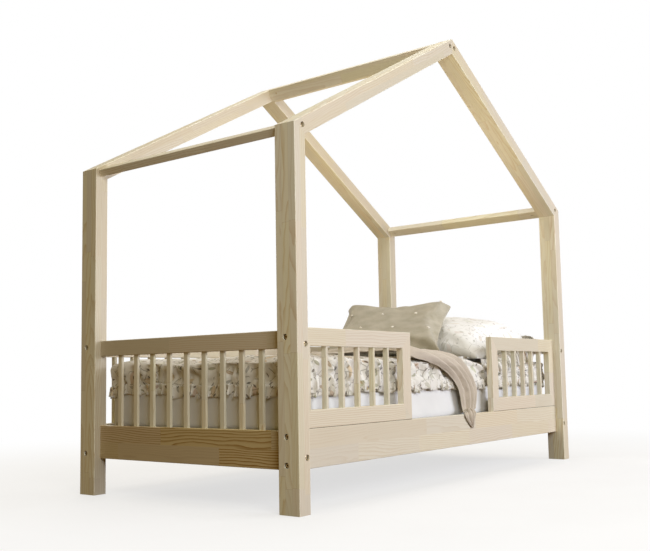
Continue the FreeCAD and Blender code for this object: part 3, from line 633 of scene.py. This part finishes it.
def run_cloth(obj, gravity, reach, stiffness, bending, pressure=0.0, shrink=0.0):
    """Let a mesh move as cloth, and keep the result where it moved by up to reach."""
    scene = bpy.context.scene
    before = np.array([v.co for v in obj.data.vertices])
    cloth = obj.modifiers.new("cloth", "CLOTH")
    rules = cloth.settings
    rules.quality = 6
    rules.mass = 0.3
    rules.tension_stiffness = stiffness
    rules.compression_stiffness = stiffness
    rules.shear_stiffness = stiffness * 0.6
    rules.bending_stiffness = bending
    rules.shrink_min = shrink
    rules.effector_weights.gravity = gravity
    rules.use_pressure = pressure > 0
    rules.uniform_pressure_force = pressure
    cloth.collision_settings.use_collision = True
    cloth.collision_settings.distance_min = CLOTH_GAP
    cloth.collision_settings.use_self_collision = False
    cloth.point_cache.frame_start = 1
    cloth.point_cache.frame_end = CLOTH_FRAMES
    for number in range(1, CLOTH_FRAMES + 1):
        scene.frame_set(number)
    result = obj.evaluated_get(bpy.context.evaluated_depsgraph_get())
    after = np.array([v.co for v in result.data.vertices])
    obj.modifiers.remove(cloth)
    scene.frame_set(1)
    move = after - before
    length = np.linalg.norm(move, axis=1, keepdims=True)
    after = before + move * np.minimum(1.0, reach / np.maximum(length, 1e-9))
    obj.data.vertices.foreach_set("co", after.ravel())
    obj.data.update()


low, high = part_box("duvet")
BODY_FOOT = 398 * MM           # below it hangs the frill
DUVET_TOP = high.z - 5 * MM
SIDE_X = 999.5 * MM
SIDE_Y = 467.5 * MM
ENTRY_SLANT = 0.62
END_SLANT = 0.15
CORE_SIZE = (1.976, 0.876, 0.262)      # a rounded block that keeps the cloth off the mattress
CORE_MIDDLE = (0, 0, 0.35)
pick()
bpy.ops.mesh.primitive_cube_add(size=1, location=(0, 0, (BODY_FOOT + DUVET_TOP) / 2 - 0.01))
duvet = bpy.context.object
duvet.scale = (2 * SIDE_X, 2 * SIDE_Y, DUVET_TOP - BODY_FOOT + 0.02)
bpy.ops.object.transform_apply(scale=True)
rounded(duvet, 30 * MM, 6)
duvet.data.remesh_voxel_size = 16 * MM
bpy.ops.object.voxel_remesh()
bpy.ops.object.mode_set(mode="EDIT")
bpy.ops.mesh.select_all(action="DESELECT")
bpy.ops.object.mode_set(mode="OBJECT")
for polygon in duvet.data.polygons:
    polygon.select = polygon.center.z < BODY_FOOT + 0.002
bpy.ops.object.mode_set(mode="EDIT")
bpy.ops.mesh.delete(type="FACE")
bpy.ops.object.mode_set(mode="OBJECT")
flat = []
for vertex in duvet.data.vertices:
    spot = vertex.co
    drop = max(0.0, DUVET_TOP - 0.02 - spot.z)
    if abs(spot.x) / SIDE_X > abs(spot.y) / SIDE_Y:
        flat.append((spot.x + math.copysign(drop, spot.x), spot.y))
    else:
        flat.append((spot.x, spot.y + math.copysign(drop, spot.y)))
flat_pattern(duvet, flat)


def rumpled(spot, normal):
    """The night's rumples in the filling: low hills on top and puffs round the edge."""
    rim = min(1.0, max(abs(spot.x) / SIDE_X, abs(spot.y) / SIDE_Y))
    hills = noise.fractal(spot * 7.0 + Vector((7, 1, 4)), 1.0, 2.0, 3)
    return spot + normal * (0.012 * hills - 0.004) * (0.4 + 0.6 * rim)


reshape(duvet, rumpled)
pick()
bpy.ops.mesh.primitive_cube_add(size=1, location=CORE_MIDDLE)
core = bpy.context.object
core.scale = CORE_SIZE
bpy.ops.object.transform_apply(scale=True)
rounded(core, 50 * MM, 5)
core.modifiers.new("collision", "COLLISION")
core.collision.thickness_outer = CLOTH_GAP
run_cloth(duvet, 1.0, 22 * MM, stiffness=12.0, bending=0.4, shrink=-0.08)
bpy.data.objects.remove(core)
duvet = settle(duvet, "duvet_in_cover")
change(duvet, "SUBSURF", levels=1, render_levels=1)


def held(value):
    """A value kept between 0 and 1."""
    return min(1.0, max(0.0, value))


def eased(share):
    """A share that starts and ends gently."""
    return share * share * (3 - 2 * share)


PRESS_DEPTH = 30 * MM
PRESS_FROM_X, PRESS_TO_X, PRESS_Y = 220 * MM, 1000 * MM, -140 * MM
PRESS_EASE_FROM, PRESS_EASE_TO, PRESS_EASE_Y = 140 * MM, 100 * MM, 280 * MM


def pressed(x, y):
    """How far the pillow's heavy entry end presses the duvet down."""
    along = held((x - PRESS_FROM_X) / PRESS_EASE_FROM) * held((PRESS_TO_X - x) / PRESS_EASE_TO)
    return PRESS_DEPTH * eased(along) * eased(held((PRESS_Y - y) / PRESS_EASE_Y))


BOARDS_X, BOARDS_Y = 1000.5 * MM, 471.2 * MM     # just inside the boards round the bedding
END_GATHER, SIDE_GATHER = 21 * MM, 25 * MM
PRESS_FOOT, PRESS_FADE = 430 * MM, 70 * MM       # the duvet's sides give way above this


def gathered(spot, normal):
    """The gathers of its hanging sides: wide round crests with tight creases between them."""
    end = abs(spot.x) / SIDE_X > abs(spot.y) / SIDE_Y
    run = spot.y if end else spot.x
    slant = run + (END_SLANT if end else ENTRY_SLANT) * (spot.z - BODY_FOOT)
    kind = 8.4 if end else 2.2
    large = noise.noise(Vector((slant * 13, kind, spot.z * 9)))
    small = noise.noise(Vector((slant * 31 + 2.0 * large, kind + 5.1, spot.z * 15)))
    fold = (1 - min(1.0, abs(large) * 3.6)) ** 1.5
    crease = (1 - min(1.0, abs(small) * 4.2)) ** 1.3
    hang = held((DUVET_TOP + 0.004 - spot.z) / 0.06)
    puff = noise.noise(Vector((run * 10, kind, spot.z * 12 + 4))) * (1.5 if end else 1.0)
    above = held((spot.z - BODY_FOOT) / 0.03)
    depth = (END_GATHER if end else SIDE_GATHER) * (0.45 + 0.55 * above)
    inward = hang * (depth * max(fold, 0.75 * crease) + (0.004 + 0.012 * above) * max(0.0, puff))
    spot -= Vector((normal.x, normal.y, 0.25 * normal.z)) * inward
    spot.x = max(-BOARDS_X, min(BOARDS_X, spot.x))
    spot.y = max(-BOARDS_Y, min(BOARDS_Y, spot.y))
    spot.z = min(spot.z, high.z)
    spot.z -= pressed(spot.x, spot.y) * held((spot.z - PRESS_FOOT) / PRESS_FADE)
    return spot


reshape(duvet, gathered)
change(duvet, "SOLIDIFY", thickness=7 * MM, offset=-1.0)
bpy.ops.object.shade_smooth()
duvet.data.materials.append(printed_cotton("printed_cotton_cover"))
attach(duvet, "root")
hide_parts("duvet")


def sewn(name, points, faces, flat, thickness, material):
    """A piece of cloth from its points, and the area of its middle surface."""
    mesh = bpy.data.meshes.new(name)
    mesh.from_pydata([tuple(p) for p in points], [], faces)
    cloth = bpy.data.objects.new(name, mesh)
    bpy.context.scene.collection.objects.link(cloth)
    flat_pattern(cloth, flat)
    area = sum(polygon.area for polygon in mesh.polygons)
    cloth = settle(cloth, name)
    change(cloth, "SOLIDIFY", thickness=thickness, offset=0.0)
    bpy.ops.object.shade_smooth()
    cloth.data.materials.append(material)
    return cloth, area


FRILL_ROWS = 7
FRILL_COLUMNS = 14             # for each wave
FRILL_THICK = 1.2 * MM
FRILL_FLAT = 1.9               # metres of its print for each metre of seam
FRILL_SWAY = 5.0               # how unevenly its waves follow each other
FRILL_LEAN = 0.27              # of a wave, by which its hem swings along the seam


def frill(name, path, outward, hang, width, wave, depth, seed, material):
    """A gathered strip of cloth sewn round a path: outward and hang give its two ways."""
    random.seed(seed)
    phases = [random.uniform(0, 6.28) for _ in range(6)]
    lengths = np.concatenate([[0], np.cumsum(np.linalg.norm(np.diff(path, axis=0), axis=1))])
    total = lengths[-1]
    count = int(total / (wave / FRILL_COLUMNS))
    points, flat, faces = [], [], []
    for i in range(count):
        s = total * i / count
        k = min(len(lengths) - 2, int(np.searchsorted(lengths, s, side="right")) - 1)
        share = (s - lengths[k]) / max(1e-9, lengths[k + 1] - lengths[k])
        base = path[k] * (1 - share) + path[k + 1] * share
        out = outward[k] * (1 - share) + outward[k + 1] * share
        down = hang[k] * (1 - share) + hang[k + 1] * share
        way = path[k + 1] - path[k]
        way = way / max(1e-9, np.linalg.norm(way))
        turns = s / total * 2 * math.pi
        sway = sum(math.sin(turns * (11 + 7 * n) + phases[n]) for n in range(3)) / 3
        phase = s / wave * 2 * math.pi + FRILL_SWAY * sway + phases[3]
        swell = 0.75 + 0.35 * math.sin(turns * 37 + phases[4])
        long = width * (1.0 + 0.12 * math.sin(turns * 53 + phases[5]))
        for row in range(FRILL_ROWS):
            t = row / (FRILL_ROWS - 1)
            ripple = math.sin(phase + 0.5 * t) * depth * swell * (0.18 + 0.82 * t ** 0.8)
            along = math.cos(phase + 0.5 * t) * wave * FRILL_LEAN * t
            points.append(base + down * long * t + out * ripple + way * along)
            flat.append((s * FRILL_FLAT, width * t))
    for i in range(count):
        a, b = i * FRILL_ROWS, ((i + 1) % count) * FRILL_ROWS
        for row in range(FRILL_ROWS - 1):
            faces.append((a + row, b + row, b + row + 1, a + row + 1))
    strip, area = sewn(name, points, faces, flat, FRILL_THICK, material)
    return strip, total, area


def corner_arcs(half_x, half_y, corner, steps):
    """The arcs of a rounded oblong, as pairs of an arc's centre and a way out of it."""
    for sign_x, sign_y, start in ((-1, -1, 180), (1, -1, 270), (1, 1, 0), (-1, 1, 90)):
        for step in range(steps + 1):
            angle = math.radians(start + 90 * step / steps)
            yield ((sign_x * (half_x - corner), sign_y * (half_y - corner)),
                   (math.cos(angle), math.sin(angle), 0.0))


FRILL_WIDTH = 42 * MM
FRILL_TOP = 407 * MM
HEM_WAVE = 16 * MM
HEM_STEP = 30 * MM
HEM_CORNER = 26 * MM
HEM_X, HEM_Y = 995.5 * MM, 455.5 * MM
path, outward = [], []
for centre, way in corner_arcs(HEM_X, HEM_Y, HEM_CORNER, 8):
    way = np.array(way)
    path.append(np.array((*centre, FRILL_TOP)) + way * HEM_CORNER)
    outward.append(way)
path.append(path[0])
outward.append(outward[0])
fine_path, fine_outward = [], []
for k in range(len(path) - 1):
    steps = max(1, int(np.linalg.norm(path[k + 1] - path[k]) / HEM_STEP))
    for step in range(steps):
        share = step / steps
        spot = path[k] * (1 - share) + path[k + 1] * share
        spot[2] += HEM_WAVE * noise.noise(Vector(spot * 9.0))
        fine_path.append(spot)
        fine_outward.append(outward[k] * (1 - share) + outward[k + 1] * share)
path, outward = fine_path + [fine_path[0]], fine_outward + [fine_outward[0]]
hang = [np.array((0, 0, -1.0)) + 0.02 * way for way in outward]
duvet_frill, around, area = frill("duvet_hem_frill", np.array(path), outward, hang, FRILL_WIDTH,
                                  46 * MM, 9.5 * MM, 5, duvet.data.materials[0])
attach(duvet_frill, "root")

# ------------------------ stuffed pieces
# The pillow is a sleeping pillow in a frilled cover with a fainter print, tilted towards
# the head panel. The cushion in front of it lies back on its lower edge, in grey-beige woven
# cotton with small cream knots.


def stuffed(name, length, depth, grid, slab, pressure, reach):
    """A flat case blown up like a stuffed one. Its length lies along Y and its depth on X."""
    pick()
    bpy.ops.mesh.primitive_grid_add(x_subdivisions=round(depth / grid),
                                    y_subdivisions=round(length / grid), size=1)
    case = bpy.context.object
    case.scale = (depth, length, 1)
    bpy.ops.object.transform_apply(scale=True)
    bpy.ops.object.mode_set(mode="EDIT")
    bpy.ops.mesh.select_all(action="SELECT")
    bpy.ops.mesh.extrude_region_move(TRANSFORM_OT_translate={"value": (0, 0, slab)})
    bpy.ops.mesh.select_all(action="SELECT")
    bpy.ops.transform.translate(value=(0, 0, -slab / 2))
    bpy.ops.mesh.normals_make_consistent(inside=False)
    bpy.ops.object.mode_set(mode="OBJECT")
    case = settle(case, name)
    flat_pattern(case, [(v.co.x + (2.0 if v.co.z < 0 else 0.0), v.co.y)
                        for v in case.data.vertices])
    run_cloth(case, 0.0, reach, stiffness=18.0, bending=0.6, pressure=pressure)
    case.data.update()
    return case


def posed(case, place):
    """Stand a stuffed case in its place and give it a finer surface."""
    case.data.transform(place)
    case.data.update()
    pick(case)
    change(case, "SUBSURF", levels=1, render_levels=1)
    bpy.ops.object.shade_smooth()


PILLOW_TILT = -12.0            # degrees
PILLOW_PLACE = (Matrix.Translation((0.686, -0.034, 0.616))
                @ Matrix.Rotation(math.radians(PILLOW_TILT), 4, "Y"))
PILLOW_LONG = 0.775
PILLOW_DEEP = 0.595
BESIDE_PILLOW = 524 * MM       # the duvet's upper side where nothing presses it
pillow = stuffed("pillow_in_cover", PILLOW_LONG, PILLOW_DEEP, 14 * MM, 40 * MM, 5.0, 68 * MM)


END_SINK, ENTRY_SINK = 26 * MM, 52 * MM


def sunk(reach):
    """How far the pillow's ends sink, the entry end the most, from -1 to 1 along it."""
    return END_SINK * reach ** 2 + ENTRY_SINK * max(0.0, -reach) ** 1.6


def slept_on(spot, normal):
    """Thin at its seams, full in the middle, flat below, its ends sunk, and softly dented."""
    wide, reach = spot.x / PILLOW_DEEP * 2, spot.y / PILLOW_LONG * 2
    full = max(0.02, 1 - abs(wide) ** 2.4) * max(0.02, 1 - abs(reach) ** 3.0)
    dents = 0.008 * noise.noise(spot * 6.0) + 0.002 * noise.noise(spot * 22.0)
    weight = 0.2 * full ** 0.35 if spot.z < 0 else 0.0     # the duvet stops its underside
    return Vector((spot.x, spot.y, spot.z * full ** 0.5 + dents - sunk(reach) - weight))


reshape(pillow, slept_on)
posed(pillow, PILLOW_PLACE)
for vertex in pillow.data.vertices:
    vertex.co.z = max(vertex.co.z, BESIDE_PILLOW - pressed(vertex.co.x, vertex.co.y))
pillow_print = printed_cotton("printed_cotton_pillow", "#efeeea", 0.42)
pillow.data.materials.append(pillow_print)
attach(pillow, "root")
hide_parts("pillow")

PILLOW_CORNER = 35 * MM
SEAM_X, SEAM_Y = PILLOW_DEEP / 2 - 4 * MM, PILLOW_LONG / 2 - 4 * MM
path, outward = [], []
for centre, way in corner_arcs(SEAM_X, SEAM_Y, PILLOW_CORNER, 6):
    way = Vector(way)
    spot = Vector((*centre, 0.0)) + way * PILLOW_CORNER
    spot.z = -sunk(spot.y / PILLOW_LONG * 2)
    path.append(np.array(PILLOW_PLACE @ spot))
    droop = 0.15 + 0.15 * max(0.0, -way.y) + 0.3 * max(0.0, -way.x) + 1.2 * max(0.0, way.x)
    way = PILLOW_PLACE.to_3x3() @ way
    outward.append(np.array((way - Vector((0, 0, droop))).normalized()))
path.append(path[0])
outward.append(outward[0])
lift = np.array(PILLOW_PLACE.to_3x3() @ Vector((0, 0, 1.0)))
PILLOW_FRILL = 75 * MM
pillow_frill, around, area = frill("pillow_frill", np.array(path), [lift] * len(path), outward,
                                   PILLOW_FRILL, 32 * MM, 11 * MM, 8, duvet.data.materials[0])
HEAD_PANEL = 1001 * MM
DUVET_FLAT = 430 * MM          # to either side of the middle the frill lies on the duvet
DUVET_EDGE = -452 * MM         # and here it folds over the duvet's edge
FOLD_ROOM = 18.5 * MM
for vertex in pillow_frill.data.vertices:
    spot = vertex.co
    spot.x = min(spot.x, HEAD_PANEL)
    if abs(spot.y) < DUVET_FLAT:
        spot.z = max(spot.z, BESIDE_PILLOW - 1 * MM - pressed(spot.x, spot.y))
    over = DUVET_EDGE - spot.y
    if over > 0:
        spot.y = DUVET_EDGE - FOLD_ROOM * (1 - math.exp(-over / FOLD_ROOM))
        spot.z -= over
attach(pillow_frill, "root")

CUSHION_TURN = 20.8            # degrees round the vertical
CUSHION_TILT = -28.0
CUSHION_PLACE = (Matrix.Translation((0.366, 0.046, 0.645))
                 @ Matrix.Rotation(math.radians(CUSHION_TURN), 4, "Z")
                 @ Matrix.Rotation(math.radians(CUSHION_TILT), 4, "Y"))
CUSHION_LONG = 0.590
CUSHION_DEEP = 0.540
cushion = stuffed("scatter_cushion_cover", CUSHION_LONG, CUSHION_DEEP, 11 * MM, 12 * MM, 4.0,
                  50 * MM)


def sagging(spot, normal):
    """The cushion's upper edge dips between its corners."""
    rise = held((spot.x / CUSHION_DEEP * 2 - 0.3) / 0.7)
    dip = 0.016 * math.exp(-((spot.y - 0.075) / 0.085) ** 2) * rise ** 1.5
    return spot + Vector((-dip, 0, 0.004 * noise.noise(spot * 9.0) - dip))


reshape(cushion, sagging)
KNOT_RADIUS = 6.2 * MM
KNOTS = [(0.065, 0.200), (0.065, 0.042), (0.065, -0.118), (-0.098, 0.122), (-0.098, -0.038),
         (-0.105, -0.205), (0.205, 0.125), (0.205, -0.040), (0.200, -0.222), (-0.215, 0.200),
         (-0.215, 0.042), (-0.215, -0.118)]
surface = np.array([v.co for v in cushion.data.vertices])
normals = np.array([v.normal for v in cushion.data.vertices])
knot_places = []
for x, y in KNOTS:
    for way in (1, -1):
        away = (surface[:, 0] - x) ** 2 + (surface[:, 1] - y) ** 2
        away += 9.0 * (surface[:, 2] * way < 0)        # keeps to one side of the cushion
        nearest = int(away.argmin())
        knot_places.append((CUSHION_PLACE @ Vector(surface[nearest]),
                            CUSHION_PLACE.to_3x3() @ Vector(normals[nearest])))
posed(cushion, CUSHION_PLACE)
woven, tree, place = new_material("grey_beige_woven_cotton", UV_MAP)
warp = add(tree, "TexWave", {
    "bands_direction": "X", "Vector": place, "Scale": 110.0, "Distortion": 1.2, "Detail": 1.0})
weft = add(tree, "TexWave", {
    "bands_direction": "Y", "Vector": place, "Scale": 110.0, "Distortion": 1.2, "Detail": 1.0})
weave = add(tree, "Math.MULTIPLY", (warp, weft))
fade = add(tree, "TexNoise", {"Vector": place, "Scale": 14.0, "Detail": 4.0})
tone = add(tree, "Math.MULTIPLY_ADD", (weave, 0.45, fade))
shade = add(tree, "ValToRGB", {"stops": [(0.35, "#989079"), (0.85, "#beb6a2")], 0: tone})
finish(tree, shade, 0.9, (weave, 0.4, 0.8 * MM), {"Sheen Weight": 0.25})
cushion.data.materials.append(woven)
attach(cushion, "root")
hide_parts("scatter_cushion")

cream, tree, place = new_material("cream_cotton_knot")
tuft = add(tree, "TexNoise", {"Vector": place, "Scale": 500.0, "Detail": 2.0})
shade = add(tree, "ValToRGB", {"stops": [(0.3, "#e4dccb"), (0.7, "#f6f1e6")], 0: tuft})
finish(tree, shade, 0.9)
knots = []
for number, (spot, normal) in enumerate(knot_places):
    pick()
    bpy.ops.mesh.primitive_ico_sphere_add(subdivisions=2, radius=KNOT_RADIUS)
    knot = bpy.context.object
    for vertex in knot.data.vertices:
        ridge = math.sin(math.atan2(vertex.co.y, vertex.co.x) * 3 + number)
        vertex.co *= 1.0 + 0.16 * ridge
        vertex.co.z *= 0.62
    turn = normal.to_track_quat("Z", "Y").to_matrix().to_4x4()
    knot.matrix_world = Matrix.Translation(spot + normal * 1.5 * MM) @ turn @ Matrix.Rotation(
        number * 0.9, 4, "Z") @ Matrix.Diagonal((1.25, 0.85, 1.0, 1.0))
    knots.append(knot)
pick(*knots)
bpy.ops.object.join()
knots = settle(bpy.context.object, "cushion_knots")
bpy.ops.object.shade_smooth()
knots.data.materials.append(cream)
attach(knots, "root")

# ------------------------ throw
# A soft taupe cotton blanket lies folded across the bed in front of the cushion. Its end
# falls over the entry side in long folds that draw together to one hanging corner.

# What it lies on, as points (y, z) from the far end: duvet, its edge, and the side rail.
UNDER = [(0.300, 0.525), (-0.345, 0.525), (-0.385, 0.5225), (-0.418, 0.515), (-0.442, 0.502),
         (-0.456, 0.487), (-0.463, 0.460), (-0.466, 0.427), (-0.471, 0.366), (-0.471, 0.290),
         (-0.475, 0.270), (-0.484, 0.2655), (-0.499, 0.2645), (-0.505, 0.257), (-0.505, 0.200)]
# Its two edges from the far end to the hanging corner, each as x and a run along UNDER.
STATIONS = [(0.020, 0.020, 0.250, 0.020), (-0.130, 0.330, 0.120, 0.330),
            (-0.240, 0.560, -0.010, 0.560), (-0.275, 0.640, -0.040, 0.610),
            (-0.285, 0.700, -0.055, 0.635), (-0.268, 0.745, -0.040, 0.660),
            (-0.215, 0.764, -0.005, 0.685), (-0.150, 0.774, 0.045, 0.715),
            (-0.085, 0.790, 0.095, 0.742), (-0.030, 0.810, 0.140, 0.772),
            (0.015, 0.832, 0.175, 0.805), (0.050, 0.860, 0.205, 0.840),
            (0.078, 0.892, 0.228, 0.885), (0.090, 0.925, 0.224, 0.922),
            (0.099, 0.957, 0.214, 0.955), (0.107, 0.983, 0.202, 0.983),
            (0.090, 0.997, 0.183, 0.997), (0.072, 1.010, 0.162, 1.010),
            (0.062, 1.024, 0.145, 1.022), (0.078, 1.040, 0.140, 1.036),
            (0.103, 1.058, 0.137, 1.049), (0.124, 1.074, 0.132, 1.072)]
PLEATS = 4
PLEAT_TALL = 26 * MM
PLEAT_RISE = 0.72              # the share of a pleat that climbs before it drops
FULL_WIDTH = 130 * MM          # where it is narrower, its pleats are lower
FLAT_WIDTH = 360 * MM          # of its weave, for the UV map
THROW_THICK = 2.2 * MM
ACROSS = 80
STEPS = 220
under = np.array(UNDER)
marks = np.concatenate([[0], np.cumsum(np.linalg.norm(np.diff(under, axis=0), axis=1))])
stations = np.array(STATIONS)
middles = (stations[:, :2] + stations[:, 2:]) / 2
run = np.concatenate([[0], np.cumsum(np.linalg.norm(np.diff(middles, axis=0), axis=1))])
walk = np.linspace(0, run[-1], STEPS + 1)
band = np.array([np.interp(walk, run, stations[:, k]) for k in range(4)])
for _ in range(6):
    band[:, 1:-1] = (band[:, :-2] + 2 * band[:, 1:-1] + band[:, 2:]) / 4
points, flat = [], []
for i in range(STEPS + 1):
    x0, run0, x1, run1 = band[:, i]
    wide = math.hypot(x1 - x0, run1 - run0)
    tall = PLEAT_TALL * min(1.0, wide / FULL_WIDTH) ** 0.8
    for j in range(ACROSS + 1):
        t = j / ACROSS
        sway = 0.05 * noise.noise(Vector((walk[i] * 2.5, t * 1.5, 1.7)))
        share = held(t + sway * math.sin(math.pi * t))
        pleat = (t + 0.06 * noise.noise(Vector((walk[i] * 3.0, 0.3, 8.2)))) * PLEATS
        pleat -= math.floor(pleat)
        saw = pleat / PLEAT_RISE if pleat < PLEAT_RISE else (1 - pleat) / (1 - PLEAT_RISE)
        size = 0.65 + 0.7 * noise.noise(Vector((walk[i] * 2.0, math.floor(t * PLEATS) * 3.1, 9)))
        lift = 0.0018 + tall * eased(saw) * size * (1 - 0.5 * t ** 3)
        lift += 0.0015 * noise.noise(Vector((walk[i] * 40, t * 20, 3.3)))
        x = x0 + (x1 - x0) * share
        along = run0 + (run1 - run0) * share
        k = min(len(under) - 2, max(0, int(np.searchsorted(marks, along, side="right")) - 1))
        part = (along - marks[k]) / (marks[k + 1] - marks[k])
        way = (under[k + 1] - under[k]) / (marks[k + 1] - marks[k])
        if 0 < k and part < 0.5:
            other = (under[k] - under[k - 1]) / (marks[k] - marks[k - 1])
            way = way * (0.5 + part) + other * (0.5 - part)
        elif k + 2 < len(under) and part >= 0.5:
            other = (under[k + 2] - under[k + 1]) / (marks[k + 2] - marks[k + 1])
            way = way * (1.5 - part) + other * (part - 0.5)
        way = way / np.linalg.norm(way)
        y, z = under[k] + (under[k + 1] - under[k]) * part
        points.append((x, y + way[1] * lift, z - way[0] * lift))
        flat.append((t * FLAT_WIDTH, walk[i]))
faces = []
for i in range(STEPS):
    for j in range(ACROSS):
        a = i * (ACROSS + 1) + j
        faces.append((a, a + 1, a + ACROSS + 2, a + ACROSS + 1))
gauze, tree, place = new_material("taupe_cotton_gauze", UV_MAP)
crepe = add(tree, "TexNoise", {"Vector": place, "Scale": 160.0, "Detail": 3.0})
fade = add(tree, "TexNoise", {"Vector": place, "Scale": 9.0, "Detail": 3.0})
tone = add(tree, "Math.MULTIPLY_ADD", (crepe, 0.4, fade))
shade = add(tree, "ValToRGB", {"stops": [(0.4, "#b1a592"), (0.9, "#c8bcab")], 0: tone})
finish(tree, shade, 0.9, (crepe, 0.5, 1.2 * MM), {"Sheen Weight": 0.3})
throw, area = sewn("throw_blanket", points, faces, flat, THROW_THICK, gauze)
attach(throw, "root")
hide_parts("throw")
